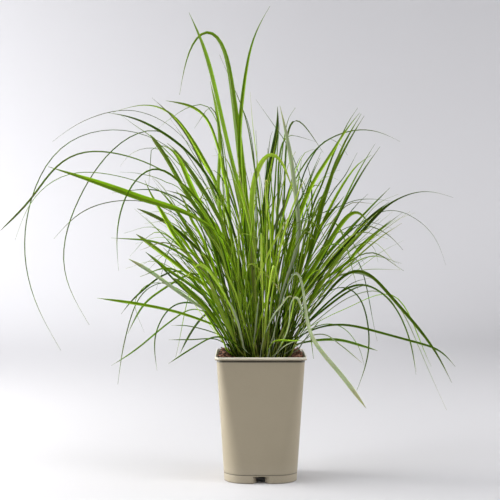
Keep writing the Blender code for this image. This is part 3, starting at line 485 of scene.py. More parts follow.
class Draft:
    """A mesh while it is put together: its points, faces, and what is painted on them."""

    def __init__(self):
        self.points = []
        self.faces = []
        self.finishes = []
        self.along = []
        self.tone = []
        self.dry = []

    def add_tube(self, rings, finish, spots, tone, dry):
        """Add a closed tube of rings, with a place along and across the blade for each point."""
        start = len(self.points)
        count = len(rings[0])
        for ring in rings:
            self.points.extend(ring)
        for row in range(len(rings) - 1):
            low = start + row * count
            for here in range(count):
                after = (here + 1) % count
                self.faces.append((low + here, low + after, low + count + after, low + count + here))
        self.faces.append(tuple(range(start + count - 1, start - 1, -1)))
        last = start + (len(rings) - 1) * count
        self.faces.append(tuple(range(last, last + count)))
        self.finishes.extend([finish] * ((len(rings) - 1) * count + 2))
        self.along.extend(spots)
        self.tone.extend([tone] * (len(rings) * count))
        self.dry.extend(dry)

    def add_shape(self, shape, finish, tone):
        """Add a bmesh, in one tone."""
        start = len(self.points)
        shape.verts.index_update()
        self.points.extend(vertex.co.copy() for vertex in shape.verts)
        for face in shape.faces:
            self.faces.append(tuple(start + vertex.index for vertex in face.verts))
            self.finishes.append(finish)
        self.along.extend([(0.5, 0.5)] * len(shape.verts))
        self.tone.extend([tone] * len(shape.verts))
        self.dry.extend([0.0] * len(shape.verts))
        shape.free()

    def make(self, name, materials, crease=50):
        """Turn the draft into an object."""
        mesh = bpy.data.meshes.new(name)
        mesh.from_pydata(self.points, [], self.faces)
        for material in materials:
            mesh.materials.append(material)
        mesh.polygons.foreach_set("material_index", self.finishes)
        corners = np.empty(len(mesh.loops), np.int32)
        mesh.loops.foreach_get("vertex_index", corners)
        layer = mesh.uv_layers.new(name="blade")
        layer.uv.foreach_set("vector", np.array(self.along, np.float32)[corners].ravel())
        for label, values in (("tone", self.tone), ("dry", self.dry)):
            attribute = mesh.attributes.new(label, "FLOAT", "POINT")
            attribute.data.foreach_set("value", np.array(values, np.float32))
        return smooth_object(name, mesh, crease)


def smooth_object(name, mesh, crease):
    """Show a mesh as a smooth object with creases at its sharp edges."""
    mesh.shade_smooth()
    mesh.set_sharp_from_angle(angle=math.radians(crease))
    item = bpy.data.objects.new(name, mesh)
    bpy.context.scene.collection.objects.link(item)
    return item


def mount(item, slot, *nodes):
    """Fasten a piece to the body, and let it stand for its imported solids."""
    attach(item, BODY)
    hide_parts(*nodes)


def blade_rings(rows, sizes, limp):
    """Return a blade's rings, and the spot along and across it of each of their points.

    A row holds a place, the direction across the blade, and half of its width. The foot is a
    round stem, which opens into a folded blade with a ridge under its middle.
    """
    rings = []
    spots = []
    steps = len(rows) - 1
    for number, row in enumerate(rows):
        share = number / steps
        point = Vector(row[:3])
        along = Vector(rows[min(number + 1, steps)][:3]) - Vector(rows[max(number - 1, 0)][:3])
        along.normalize()
        side = Vector(row[3:6])
        side = (side - along * side.dot(along)).normalized()
        wave = limp * math.sin(7 * share + 40 * limp) * share
        side = Matrix.Rotation(wave, 3, along) @ side
        face = along.cross(side)
        half = row[6]
        opened = ease(share / OPEN_SHARE)
        lift = sizes.fold * half * opened
        thick = sizes.blade * min(1, half / FULL_HALF) / 2
        upper = []
        lower = []
        for across, (round_x, round_z) in zip(ACROSS, ROUND):
            x = blend(round_x, across, opened) * half
            rib = 1 - min(1, abs(across) / 0.5)
            flat = thick * (1 - across * across)
            top = blend(round_z * half, flat - RIB_DIP * thick * rib, opened)
            low = blend(round_z * half, flat + RIB_BULGE * thick * rib, opened)
            bend = lift * (abs(across) ** CURL - MIDDLE_DIP)
            upper.append(point + side * x + face * (top + bend))
            lower.append(point + side * x + face * (bend - low))
        rings.append(upper + lower[-2:0:-1])
        upper_spots = [((across + 1) / 2, share) for across in ACROSS]
        spots.extend(upper_spots + upper_spots[-2:0:-1])
    return rings, spots


def dry_row(steps, start, amount):
    """Return how dry each point of a blade is: only its tip, from a share of its length on."""
    values = []
    for number in range(steps + 1):
        share = number / steps
        values.extend([amount * ease((share - start) / (1 - start))] * SECTION_POINTS)
    return values


def add_blade(draft, rows, sizes, finish, dice, thirsty=False):
    """Add one blade to a draft, with its own tone, twist and dry tip, or a long one if thirsty."""
    limp = dice.uniform(0.04, 0.22)
    rings, spots = blade_rings(rows, sizes, limp)
    withered = dice.random() < WITHERED_SHARE
    dry_from = dice.uniform(0.7, 0.88) if withered else 0.86
    if thirsty:
        dry_from = 0.45
    dryness = dice.uniform(0.6, 1) if withered or thirsty else 0.7
    dry = dry_row(len(rows) - 1, dry_from, dryness)
    draft.add_tube(rings, finish, spots, dice.random(), dry)


def sections_of(node):
    """Return a packed leaf's sections from its foot to its tip, as places of four points."""
    shape = bmesh.new()
    shape.from_mesh(node.data)
    bmesh.ops.remove_doubles(shape, verts=shape.verts, dist=0.01 * MM)
    foot = SOIL_HIGH.z + FOOT_GAP
    widest = 60 * MM
    ring = [v for v in shape.verts
            if abs(v.co.z - foot) < 0.1 * MM and math.hypot(v.co.x, v.co.y) < widest]
    met = set(ring)
    sections = []
    while ring:
        if len(ring) != 4:
            raise RuntimeError(f"{node.name} has a section of {len(ring)} points")
        sections.append([vertex.co.copy() for vertex in ring])
        after = {edge.other_vert(vertex) for vertex in ring for edge in vertex.link_edges} - met
        met |= after
        ring = list(after)
    shape.free()
    return sections


def rows_of(sections):
    """Return a packed leaf's places, directions across and half widths, from its sections."""
    middles = [sum(section, Vector()) / 4 for section in sections]
    rows = []
    before = None
    for number in range(len(sections) - 1, -1, -1):
        section = sections[number]
        pairs = [(a, b) for i, a in enumerate(section) for b in section[i + 1:]]
        left, right = max(pairs, key=lambda pair: (pair[1] - pair[0]).length)
        others = [point for point in section if point is not left and point is not right]
        keel = (others[0] + others[1]) / 2
        along = middles[min(number + 1, len(middles) - 1)] - middles[max(number - 1, 0)]
        side = (right - left).normalized()
        rise = ((left + right) / 2 - keel).dot(along.cross(side))
        if number == 0:
            side = before.copy()
        elif before is not None and side.dot(before) < 0 or before is None and rise < 0:
            side.negate()
        before = side
        rows.append((*keel, *side, (right - left).length / 2))
    rows.reverse()
    return rows


def build_long_leaf(node, slot, finishes, sizes, dice):
    """Build a fine blade in the place of one packed leaf."""
    name = node.name.replace("leaf_", "")
    look = LOOKS.get(name, PLAIN)
    rows = smooth_rows(rows_of(sections_of(node)), sizes.stations, 8)
    half = rows[:, 6].max() * look.fuller
    for number, row in enumerate(rows):
        row[6] = blade_half(number / sizes.stations, half, sizes.stem, look)
    turn_to_front(rows, look.face)
    tone = TONES[look.tone or slot.replace("leaf_", "")]
    draft = Draft()
    add_blade(draft, rows, sizes, 0, dice, thirsty=tone == DARK and look.fuller < 1)
    mount(draft.make(f"{name}_blade", [finishes[tone]]), slot, node.name)


def turn_to_front(rows, amount):
    """Turn a blade's face to the front by a share of the way, and keep its stem as it stands."""
    for number, row in enumerate(rows[:-1]):
        along = Vector(rows[number + 1][:3]) - Vector(row[:3])
        level = Vector((0, 1, 0)).cross(along).normalized()
        side = Vector(row[3:6]).normalized()
        if level.dot(side) < 0:
            level.negate()
        row[3:6] = blend(side, level, amount * ease(number / len(rows) / 0.3)).normalized()
    rows[-1][3:6] = rows[-2][3:6]


def blade_half(share, half, stem, look=PLAIN):
    """Return half of a blade's width: a slim stem, a full blade and a fine tip."""
    grown = blend(min(stem, half), half, ease(share / look.full) ** look.growth)
    taper = 1 - max(0.0, (share - look.narrows) / (1 - look.narrows)) ** look.power
    return max(TIP_HALF, grown * taper)


def level_side(points, turn):
    """Return the direction across a blade that is turned round its own course."""
    heading = points[-1] - points[0]
    heading.z = 0
    side = Vector((0, 0, 1)).cross(heading).normalized()
    along = (points[-1] - points[0]).normalized()
    return Matrix.Rotation(math.radians(turn), 3, along) @ side


def blade_rows(points, half, turn, stations, stem, look=PLAIN):
    """Return the rows of a blade that passes through some points."""
    side = level_side(points, turn)
    rows = smooth_rows([(*point, *side, half) for point in points], stations)
    for number, row in enumerate(rows):
        row[6] = blade_half(number / stations, half, stem, look)
    return rows


def seen_blade_points(blade, sizes, dice):
    """Return the points of a blade of the table, from its place in the crown."""
    seen = [Vector((x * CM, z * CM)) for x, z in blade.points]
    depth = blade.depth * CM
    place = Vector((seen[0].x * 0.5, depth * 0.3)) + Vector((dice.gauss(0, 3), dice.gauss(0, 3))) * MM
    if place.length > sizes.crown:
        place *= sizes.crown / place.length
    lengths = [(seen[0] - Vector((place.x, SOIL_HIGH.z))).length]
    for start, end in zip(seen, seen[1:]):
        lengths.append(lengths[-1] + (end - start).length)
    points = [Vector((place.x, place.y, ROOT))]
    for spot, length in zip(seen, lengths):
        y = blend(place.y, depth, length / lengths[-1])
        spread = (y - VIEWPOINT.y) / -VIEWPOINT.y
        points.append(Vector((VIEWPOINT.x + (spot.x - VIEWPOINT.x) * spread, y,
                              VIEWPOINT.z + (spot.y - VIEWPOINT.z) * spread)))
    return points


def course_points(place, heading, reach, height, drop, sway, bow=1.0):
    """Return points that rise from the crown and lean out, and bow over at the tip if asked.

    The reach, the height and the drop at the tip are in centimetres.
    """
    out = Vector((math.cos(heading), math.sin(heading), 0))
    aside = Vector((-out.y, out.x, 0)) * sway
    foot = Vector((place.x, place.y, ROOT)) + out * (4 * MM)
    rise = height * CM - foot.z
    reach = reach * CM
    points = [foot]
    for arched_out, arched_up, straight, sideways in ARCH:
        outward = blend(straight ** 1.25, arched_out, bow)
        upward = blend(straight ** 0.9, arched_up, bow)
        points.append(foot + out * (reach * outward) + aside * sideways
                      + Vector((0, 0, rise * upward)))
    points.append(foot + out * reach + aside * 1.2 + Vector((0, 0, rise - drop * CM * bow)))
    return points


def hides_pot(points):
    """Tell whether a blade would hang in front of the pot."""
    for point in points[2:]:
        spread = -VIEWPOINT.y / (point.y - VIEWPOINT.y)
        x = VIEWPOINT.x + (point.x - VIEWPOINT.x) * spread
        z = VIEWPOINT.z + (point.z - VIEWPOINT.z) * spread
        if abs(x) < POT_HIGH.x * 1.3 and z < POT_HIGH.z + 5 * CM:
            return True
    return False


def add_shoots(draft, tuft, sizes, dice):
    """Add the leaves that follow a tuft's courses, the first of each on the course itself."""
    ground = SOIL_HIGH.z / CM
    for heading, reach, height, drop in tuft.courses:
        for copy in range(sizes.copies + MORE_SHOOTS.get(tuft.name, 0)):
            loose = 1 if copy else 0
            points = None
            while points is None or loose and hides_pot(points):
                place = Vector(tuft.place) * CM
                shift = Vector((dice.gauss(0, CROWN_SPREAD), dice.gauss(0, CROWN_SPREAD)))
                place += shift * (MM * loose)
                if place.length > sizes.crown:
                    place *= sizes.crown / place.length
                turned = math.radians(heading + dice.gauss(0, HEADING_SPREAD) * loose)
                length = math.hypot(reach, height - ground) * (1 - loose * dice.uniform(*SHORTER))
                steep = math.atan2(height - ground, reach) + loose * math.radians(dice.gauss(*STEEPER))
                lowest = LOWEST_RIGHT if math.cos(turned) > TO_THE_RIGHT else LOWEST
                steep = max(steep, loose * math.radians(dice.gauss(*lowest)))
                if loose and dice.random() < CROSSING_SHARE:
                    turned = dice.uniform(0, 2 * math.pi)
                    steep = math.radians(dice.gauss(*CROSSING_STEEP))
                fall = drop + loose * dice.uniform(0, 2)
                sway = dice.gauss(0, SWAY_SPREAD) * MM
                bow = dice.uniform(0, 0.3) if loose else 1
                points = course_points(place, turned, length * math.cos(steep),
                                       ground + length * math.sin(steep), fall, sway, bow)
            half = dice.choices(SHOOT_HALVES, HALF_WEIGHTS)[0] * MM
            rows = blade_rows(points, half, dice.uniform(-MOST_TURN, MOST_TURN),
                              sizes.tuft_stations, sizes.stem * dice.uniform(0.6, 1.0), SHOOT)
            # Painted shade: shoots behind take the tones behind, with more dark leaves and fewer lime
            # ones.
            weights = BEHIND_TONES if points[2].y > BEHIND else FRONT_TONES
            add_blade(draft, rows, sizes, dice.choices(range(len(TONES)), weights)[0], dice)


def add_sheaths(draft, tuft, sizes, dice):
    """Add the short dry sheaths that stand round the feet of a tuft's leaves."""
    steps = 12
    soil_top = 25
    for _ in range(SHEATHS):
        heading = dice.uniform(0, 2 * math.pi)
        out = Vector((math.cos(heading), math.sin(heading)))
        place = Vector(tuft.place) * CM + out * (dice.uniform(2, 12) * MM)
        points = course_points(place, heading, dice.uniform(0.6, 3.2),
                               soil_top + dice.uniform(1.5, 5.5), dice.uniform(0, 1.5),
                               dice.gauss(0, 3) * MM)
        rows = blade_rows(points, dice.uniform(1.5, 3) * MM, dice.uniform(0, 90), steps, sizes.stem)
        rings, spots = blade_rings(rows, sizes, 0.3)
        draft.add_tube(rings, OLIVE, spots, dice.random(), dry_row(steps, 0.1, dice.uniform(0.5, 1)))


def rounded_square(height, half, radius, steps):
    """Return the points of a level square with rounded corners, counterclockwise from above."""
    points = []
    for corner in range(4):
        turn = Matrix.Rotation(corner * math.pi / 2, 4, "Z")
        for step in range(steps + 1):
            angle = step / steps * math.pi / 2
            x = half - radius + radius * math.cos(angle)
            y = half - radius + radius * math.sin(angle)
            points.append(turn @ Vector((x, y, height)))
    return points


def body_ring(height, inset, pot):
    """Return a ring that follows the pot's wall at a height, moved inwards."""
    share = height / (POT_HIGH.z - pot.rim_band)
    half = blend(pot.body_half_foot, pot.body_half_top, share)
    radius = blend(pot.radius_foot, pot.radius_top, share)
    return rounded_square(height, half - inset, radius - inset, pot.corner_steps)


def skin(rings):
    """Join rings with the same number of points into one closed mesh, capped at both ends."""
    shape = bmesh.new()
    rows = [[shape.verts.new(point) for point in ring] for ring in rings]
    for low, high in zip(rows, rows[1:]):
        for here in range(len(low)):
            after = (here + 1) % len(low)
            shape.faces.new((low[here], low[after], high[after], high[here]))
    shape.faces.new(list(reversed(rows[0])))
    shape.faces.new(rows[-1])
    bmesh.ops.recalc_face_normals(shape, faces=shape.faces)
    return shape


def plain_object(name, shape, material=None, crease=POT_CREASE):
    """Turn a bmesh into a smooth object."""
    mesh = bpy.data.meshes.new(name)
    shape.to_mesh(mesh)
    shape.free()
    if material:
        mesh.materials.append(material)
    return smooth_object(name, mesh, crease)


def tapered_block(wide, narrow, near, far, bottom, top):
    """Return a block that narrows from its near end to its far end along +Y."""
    shape = bmesh.new()
    bmesh.ops.create_cube(shape, size=1)
    for vertex in shape.verts:
        vertex.co.x *= wide if vertex.co.y < 0 else narrow
        vertex.co.y = near if vertex.co.y < 0 else far
        vertex.co.z = bottom if vertex.co.z < 0 else top
    return shape


def cut_or_join(item, cutters):
    """Apply cutters to an object one after another, and remove them."""
    for shape, operation in cutters:
        cutter = plain_object("cutter", shape)
        step = item.modifiers.new("cut", "BOOLEAN")
        step.operation = operation
        step.solver = "EXACT"
        step.object = cutter
        graph = bpy.context.evaluated_depsgraph_get()
        mesh = bpy.data.meshes.new_from_object(item.evaluated_get(graph))
        item.modifiers.clear()
        old = item.data
        item.data = mesh
        mesh.name = old.name
        bpy.data.meshes.remove(old)
        bpy.data.objects.remove(cutter)


def pot_rings(pot):
    """Return the pot's rings, from the middle of its foot up its outside and down its inside."""
    top = POT_HIGH.z
    band = top - pot.rim_band
    rim = POT_HIGH.x
    steps = pot.corner_steps
    pad = 14 * MM
    floor = 15 * MM
    floor_inside = 17.5 * MM
    foot_round = 0.6 * MM
    lip = 1.5 * MM
    lip_rise = 1.3 * MM
    rings = [
        rounded_square(0, pad, pad * 0.9, steps),
        rounded_square(floor, pad + 1 * MM, pad * 0.95, steps),
        body_ring(floor, pot.wall, pot),
        body_ring(0, pot.wall + 0.4 * MM, pot),
        body_ring(0, foot_round, pot),
    ]
    rings += [body_ring(foot_round * (1 - math.cos(turn)), foot_round * (1 - math.sin(turn)), pot)
              for turn in np.linspace(0.3, math.pi / 2, 3)]
    rings.append(body_ring(pot.foot_band - 0.5 * MM, 0, pot))
    rings += [body_ring(pot.foot_band + rise * MM, inset * MM, pot) for rise, inset in GROOVE]
    rings += [body_ring(height, 0, pot) for height in np.linspace(24 * MM, band - 5 * MM, 14)]
    rings += [body_ring(band - drop * MM, inset * MM, pot) for drop, inset in BAND_STEP]
    rings += [rounded_square(band + rise * MM, rim - inset * MM, pot.rim_radius, steps)
              for rise, inset in RIM_BAND]
    for turn in np.linspace(0, math.pi, 9)[1:]:
        inset = lip * (1 - math.cos(turn))
        rings.append(rounded_square(top - lip_rise + lip_rise * math.sin(turn), rim - inset,
                                    pot.rim_radius - inset, steps))
    rings += [body_ring(height, pot.wall, pot)
              for height in (top - 4 * MM, top - 9 * MM, 40 * MM, floor_inside)]
    return rings


def build_pot(pot, material):
    """Build the moulded pot with its rim, foot band and drain notches."""
    item = plain_object("moulded_pot", skin(pot_rings(pot)), material)
    face = pot.body_half_foot
    cutters = []
    for side in range(4):
        turn = Matrix.Rotation(side * math.pi / 2, 4, "Z")
        cheeks = tapered_block(wide=35 * MM, narrow=20 * MM, near=1 * MM - face,
                               far=11 * MM - face, bottom=0.5 * MM, top=16.5 * MM)
        notch = tapered_block(wide=33 * MM, narrow=16 * MM, near=-1 * MM - face,
                              far=12 * MM - face, bottom=-1 * MM, top=14.4 * MM)
        drain = tapered_block(wide=14 * MM, narrow=14 * MM, near=-52 * MM,
                              far=-45 * MM, bottom=13 * MM, top=19.5 * MM)
        for shape, operation in ((cheeks, "UNION"), (notch, "DIFFERENCE"), (drain, "DIFFERENCE")):
            shape.transform(turn)
            cutters.append((shape, operation))
    label_hole = 1.1 * MM
    for side in (-1, 1):
        hole = bmesh.new()
        bmesh.ops.create_cone(hole, cap_ends=True, segments=20, radius1=label_hole,
                              radius2=label_hole, depth=28 * MM)
        hole.transform(Matrix.Translation((side * 88.1 * MM, 0, POT_HIGH.z)))
        cutters.append((hole, "DIFFERENCE"))
    cut_or_join(item, cutters)
    item.data.shade_smooth()
    item.data.set_sharp_from_angle(angle=math.radians(POT_CREASE))
    mount(item, "pot_plastic", "pot")


def soil_height(x, y, soil):
    """Return the height of the soil's surface, lumpy and a little higher under the crown."""
    spot = Vector((x, y, 0))
    lumps = 0.6 * noise.noise(spot * 55) + 0.3 * noise.noise(spot * 150 + Vector((7, 0, 0)))
    grain = 0.25 * noise.noise(spot * 420 + Vector((0, 3, 0)))
    mound = 1.5 * MM * (1 - min(1, math.hypot(x, y) / (75 * MM)))
    bank = max(high * MM * ease((abs(place) - start * MM) / (wide * MM))
               for place, (high, start, wide) in zip((x, y), BANKS))
    return SOIL_HIGH.z - 1.6 * MM + mound + bank + soil.lump * (lumps + grain)


def build_soil(soil, pot, materials):
    """Build the soil: its sides in the pot, its lumpy surface, and bark and crumbs on it."""
    gap = pot.wall + 0.5 * MM
    edge = SOIL_HIGH.z - 3 * MM
    outline = body_ring(edge, gap, pot)
    draft = Draft()
    rings = [body_ring(SOIL_LOW.z, gap, pot), body_ring(SOIL_HIGH.z * 0.5, gap, pot), outline]
    steps = soil.grid // 2
    for number in range(1, steps):
        share = 1 - number / steps
        ring = []
        for point in outline:
            x = point.x * share
            y = point.y * share
            ring.append(Vector((x, y, blend(edge, soil_height(x, y, soil), ease(number / 3)))))
        rings.append(ring)
    draft.add_shape(skin(rings), 0, 0.5)
    dice = random.Random(soil.seed)
    noise.seed_set(soil.seed)
    room = pot.body_half_top - gap - 3 * MM
    for number in range(soil.chips + soil.crumbs):
        crumb = number >= soil.chips
        x = dice.uniform(-room, room)
        y = dice.uniform(-room, room)
        shape = bmesh.new()
        if crumb:
            bmesh.ops.create_icosphere(shape, subdivisions=1, radius=dice.uniform(*CRUMB_RADIUS) * MM)
        else:
            bmesh.ops.create_cube(shape, size=1)
            bmesh.ops.subdivide_edges(shape, edges=shape.edges, cuts=1, use_grid_fill=True)
            size = Vector([dice.uniform(*ends) for ends in CHIP_SIZES]) * MM
            for vertex in shape.verts:
                vertex.co = vertex.co * size
        rough = CRUMB_ROUGH if crumb else CHIP_ROUGH
        shift = Vector((dice.uniform(0, 50), dice.uniform(0, 50), 0))
        for vertex in shape.verts:
            vertex.co += noise.noise_vector(vertex.co * 400 + shift) * rough
        tilt = (Matrix.Rotation(dice.gauss(0, 0.35), 4, "X")
                @ Matrix.Rotation(dice.gauss(0, 0.35), 4, "Y"))
        shape.transform(Matrix.Rotation(dice.uniform(0, math.pi), 4, "Z") @ tilt)
        lift = 0.2 * MM if crumb else 0.6 * MM
        shape.transform(Matrix.Translation((x, y, soil_height(x, y, soil) + lift)))
        bmesh.ops.recalc_face_normals(shape, faces=shape.faces)
        draft.add_shape(shape, 0 if crumb else 1, dice.random())
    mount(draft.make("peat_and_bark", materials, crease=40), "potting_soil", "soil")


def toned(colour, share):
    """Return a colour with each of its parts taken down to a share."""
    return tuple(share * part for part in colour)


def put(tree, kind, **settings):
    """Add a node and set its properties."""
    node = tree.nodes.new(kind)
    for name, value in settings.items():
        setattr(node, name, value)
    return node


def feed(tree, socket, value):
    """Give an input a value, or wire it to another node's output."""
    if isinstance(value, bpy.types.NodeSocket):
        tree.links.new(value, socket)
    elif isinstance(value, tuple):
        socket.default_value = (*value, 1)
    else:
        socket.default_value = value


def maths(tree, operation, *values, clamp=False):
    """Add a sum of one to three numbers and return its result."""
    node = put(tree, "ShaderNodeMath", operation=operation, use_clamp=clamp)
    for socket, value in zip(node.inputs, values):
        feed(tree, socket, value)
    return node.outputs[0]


def product(tree, first, second, clamp=False):
    """Multiply two numbers and return the result."""
    return maths(tree, "MULTIPLY", first, second, clamp=clamp)


def mixed(tree, share, first, second):
    """Mix two colours and return the result."""
    node = put(tree, "ShaderNodeMix", data_type="RGBA")
    feed(tree, node.inputs[0], share)
    feed(tree, node.inputs[6], first)
    feed(tree, node.inputs[7], second)
    return node.outputs[2]


def ramped(tree, value, low, high, to_low=0.0, to_high=1.0):
    """Map a number smoothly from one range to another."""
    node = put(tree, "ShaderNodeMapRange", interpolation_type="SMOOTHSTEP")
    for socket, number in zip(node.inputs, (value, low, high, to_low, to_high)):
        feed(tree, socket, number)
    return node.outputs[0]


def speckle(tree, vector, scale, detail=3.0, roughness=0.55):
    """Add a noise pattern and return its value."""
    node = put(tree, "ShaderNodeTexNoise")
    feed(tree, node.inputs["Vector"], vector)
    feed(tree, node.inputs["Scale"], scale)
    feed(tree, node.inputs["Detail"], detail)
    feed(tree, node.inputs["Roughness"], roughness)
    return node.outputs["Fac"]


def own_place(tree):
    """Return the place of a point in its own object."""
    return put(tree, "ShaderNodeTexCoord").outputs["Object"]


def painted(tree, name):
    """Return a number that is painted on the mesh."""
    return put(tree, "ShaderNodeAttribute", attribute_name=name).outputs["Fac"]


def new_group(name, inputs, outputs):
    """Make a shader node group with named sockets, and return its tree and both sets of them."""
    tree = bpy.data.node_groups.new(name, "ShaderNodeTree")
    kinds = {"colour": "NodeSocketColor", "number": "NodeSocketFloat"}
    for label, kind, default in inputs:
        socket = tree.interface.new_socket(label, in_out="INPUT", socket_type=kinds[kind])
        socket.default_value = (*default, 1) if kind == "colour" else default
    for label, kind in outputs:
        tree.interface.new_socket(label, in_out="OUTPUT", socket_type=kinds[kind])
    return tree, put(tree, "NodeGroupInput").outputs, put(tree, "NodeGroupOutput").inputs


def place_group(tree, name, **values):
    """Place a shared group, made the first time, with its own values, and return its outputs."""
    group = bpy.data.node_groups.get(name) or SHARED_LOOKS[name]()
    node = put(tree, "ShaderNodeGroup", node_tree=group)
    for label, value in values.items():
        feed(tree, node.inputs[label.replace("_", " ")], value)
    return node.outputs


def mottle_group():
    """Patches of a second colour in a first one, as on anything that grew or lay outdoors."""
    tree, given, results = new_group(
        "Mottle",
        (("Colour", "colour", (0.5, 0.5, 0.5)), ("Tint", "colour", (0.3, 0.3, 0.3)),
         ("Scale", "number", 30.0), ("Share", "number", 0.5)),
        (("Colour", "colour"), ("Patches", "number")))
    place = own_place(tree)
    coarse = speckle(tree, place, given["Scale"], 4.0)
    patches = ramped(tree, coarse, 0.38, 0.66)
    share = product(tree, patches, given["Share"])
    feed(tree, results["Colour"], mixed(tree, share, given["Colour"], given["Tint"]))
    feed(tree, results["Patches"], patches)
    return tree


def grain_group():
    """The fine grain of a moulded, pressed or crumbly surface, as a height and a mask."""
    tree, given, results = new_group(
        "Fine grain",
        (("Scale", "number", 900.0), ("Wave", "number", 60.0), ("Wave share", "number", 0.3)),
        (("Height", "number"), ("Mask", "number")))
    place = own_place(tree)
    fine = speckle(tree, place, given["Scale"], 2.0, 0.6)
    broad = speckle(tree, place, given["Wave"], 2.0, 0.5)
    height = maths(tree, "ADD", fine, product(tree, broad, given["Wave share"]))
    feed(tree, results["Height"], height)
    feed(tree, results["Mask"], ramped(tree, fine, 0.35, 0.65))
    return tree


def blade_group():
    """A grass blade: parallel veins, a midrib, one half darkened as painted shade, streaks along it, a
    foot colour and a dry tip.
    """
    tree, given, results = new_group(
        "Blade finish",
        (("Light", "colour", (0.15, 0.35, 0.03)), ("Deep", "colour", (0.05, 0.15, 0.01)),
         ("Foot", "colour", (0.3, 0.4, 0.15)), ("Dry", "colour", (0.33, 0.27, 0.12)),
         ("Veins", "number", 9.0), ("Vein share", "number", 0.25),
         ("Foot reach", "number", 0.3), ("Foot share", "number", 0.9), ("Dim half", "number", 0.65)),
        (("Colour", "colour"), ("Roughness", "number"), ("Relief", "number")))
    spot = put(tree, "ShaderNodeSeparateXYZ")
    feed(tree, spot.inputs[0], put(tree, "ShaderNodeUVMap", uv_map="blade").outputs[0])
    across, along = spot.outputs[0], spot.outputs[1]
    tone = painted(tree, "tone")
    dry = painted(tree, "dry")
    stretched = put(tree, "ShaderNodeCombineXYZ")
    feed(tree, stretched.inputs[0], product(tree, across, 11.0))
    feed(tree, stretched.inputs[1], product(tree, along, 5.0))
    feed(tree, stretched.inputs[2], product(tree, tone, 90.0))
    streak = speckle(tree, stretched.outputs[0], 1.0, 3.0)
    vein = maths(tree, "PINGPONG", product(tree, across, given["Veins"]), 0.5)
    vein = ramped(tree, vein, 0.12, 0.4)
    midrib = ramped(tree, maths(tree, "ABSOLUTE", maths(tree, "SUBTRACT", across, 0.5)),
                    0.03, 0.1, 1.0, 0.0)
    light = maths(tree, "MULTIPLY_ADD", streak, 0.7, product(tree, tone, 1.6))
    light = maths(tree, "SUBTRACT", light, 0.6, clamp=True)
    colour = mixed(tree, light, given["Deep"], given["Light"])
    colour = mixed(tree, product(tree, vein, given["Vein share"]), colour, given["Deep"])
    # Painted shade: one half of each blade, left or right by its tone, is darkened towards the deep
    # colour, as if the fold turned it from the light.
    right = ramped(tree, across, 0.47, 0.53)
    turned = maths(tree, "GREATER_THAN", maths(tree, "FRACT", product(tree, tone, 7.0)), 0.5)
    shaded_half = maths(tree, "ABSOLUTE", maths(tree, "SUBTRACT", right, turned))
    colour = mixed(tree, product(tree, shaded_half, given["Dim half"]), colour, given["Deep"])
    colour = mixed(tree, product(tree, midrib, 0.3), colour, given["Foot"])
    # The foot colour over the lowest share of the blade: painted shade on the green, dark and deep
    # leaves, their own colour at the base on the others.
    foot = ramped(tree, along, 0.02, given["Foot reach"], given["Foot share"], 0.0)
    colour = mixed(tree, foot, colour, given["Foot"])
    tip = product(tree, dry, ramped(tree, streak, 0.25, 0.6, 0.7, 1.0))
    colour = mixed(tree, tip, colour, given["Dry"])
    rough = maths(tree, "MULTIPLY_ADD", streak, 0.22, 0.30)
    feed(tree, results["Colour"], colour)
    feed(tree, results["Roughness"], maths(tree, "MULTIPLY_ADD", dry, 0.3, rough))
    relief = maths(tree, "SUBTRACT", product(tree, streak, 0.3), vein)
    feed(tree, results["Relief"], maths(tree, "ADD", relief, midrib))
    return tree


SHARED_LOOKS = {"Mottle": mottle_group, "Fine grain": grain_group, "Blade finish": blade_group}


def new_finish(name, roughness, **sockets):
    """Make a material, and return it with its tree and its Principled shader."""
    material = bpy.data.materials.new(name)
    material.use_nodes = True
    tree = material.node_tree
    shader = tree.nodes["Principled BSDF"]
    shader.inputs["Roughness"].default_value = roughness
    for label, value in sockets.items():
        shader.inputs[label.replace("_", " ")].default_value = value
    return material, tree, shader


def raise_surface(tree, shader, height, distance, strength):
    """Let a height pattern bend the light on a surface."""
    bump = put(tree, "ShaderNodeBump")
    bump.inputs["Strength"].default_value = strength
    bump.inputs["Distance"].default_value = distance
    feed(tree, bump.inputs["Height"], height)
    feed(tree, shader.inputs["Normal"], bump.outputs[0])


def leaf_finish(name, light, foot, dry, depth, reach=0.3):
    """Make the finish of a leaf: veined, streaked, a little see-through, with its own foot colour, which
    is painted shade where it is darker than the blade.
    """
    deep = toned(light, depth)
    material, tree, shader = new_finish(
        name, 0.4, Subsurface_Weight=0.25, Subsurface_Radius=(0.5, 1.0, 0.12),
        Subsurface_Scale=0.0012, IOR=1.42, Specular_IOR_Level=0.09)
    blade = place_group(tree, "Blade finish", Light=light, Deep=deep, Foot=foot, Dry=dry,
                        Foot_reach=reach)
    mottle = place_group(tree, "Mottle", Colour=blade["Colour"], Tint=deep, Scale=24.0, Share=0.3)
    feed(tree, shader.inputs["Base Color"], mottle["Colour"])
    feed(tree, shader.inputs["Roughness"], blade["Roughness"])
    raise_surface(tree, shader, blade["Relief"], 0.12 * MM, 0.6)
    return material


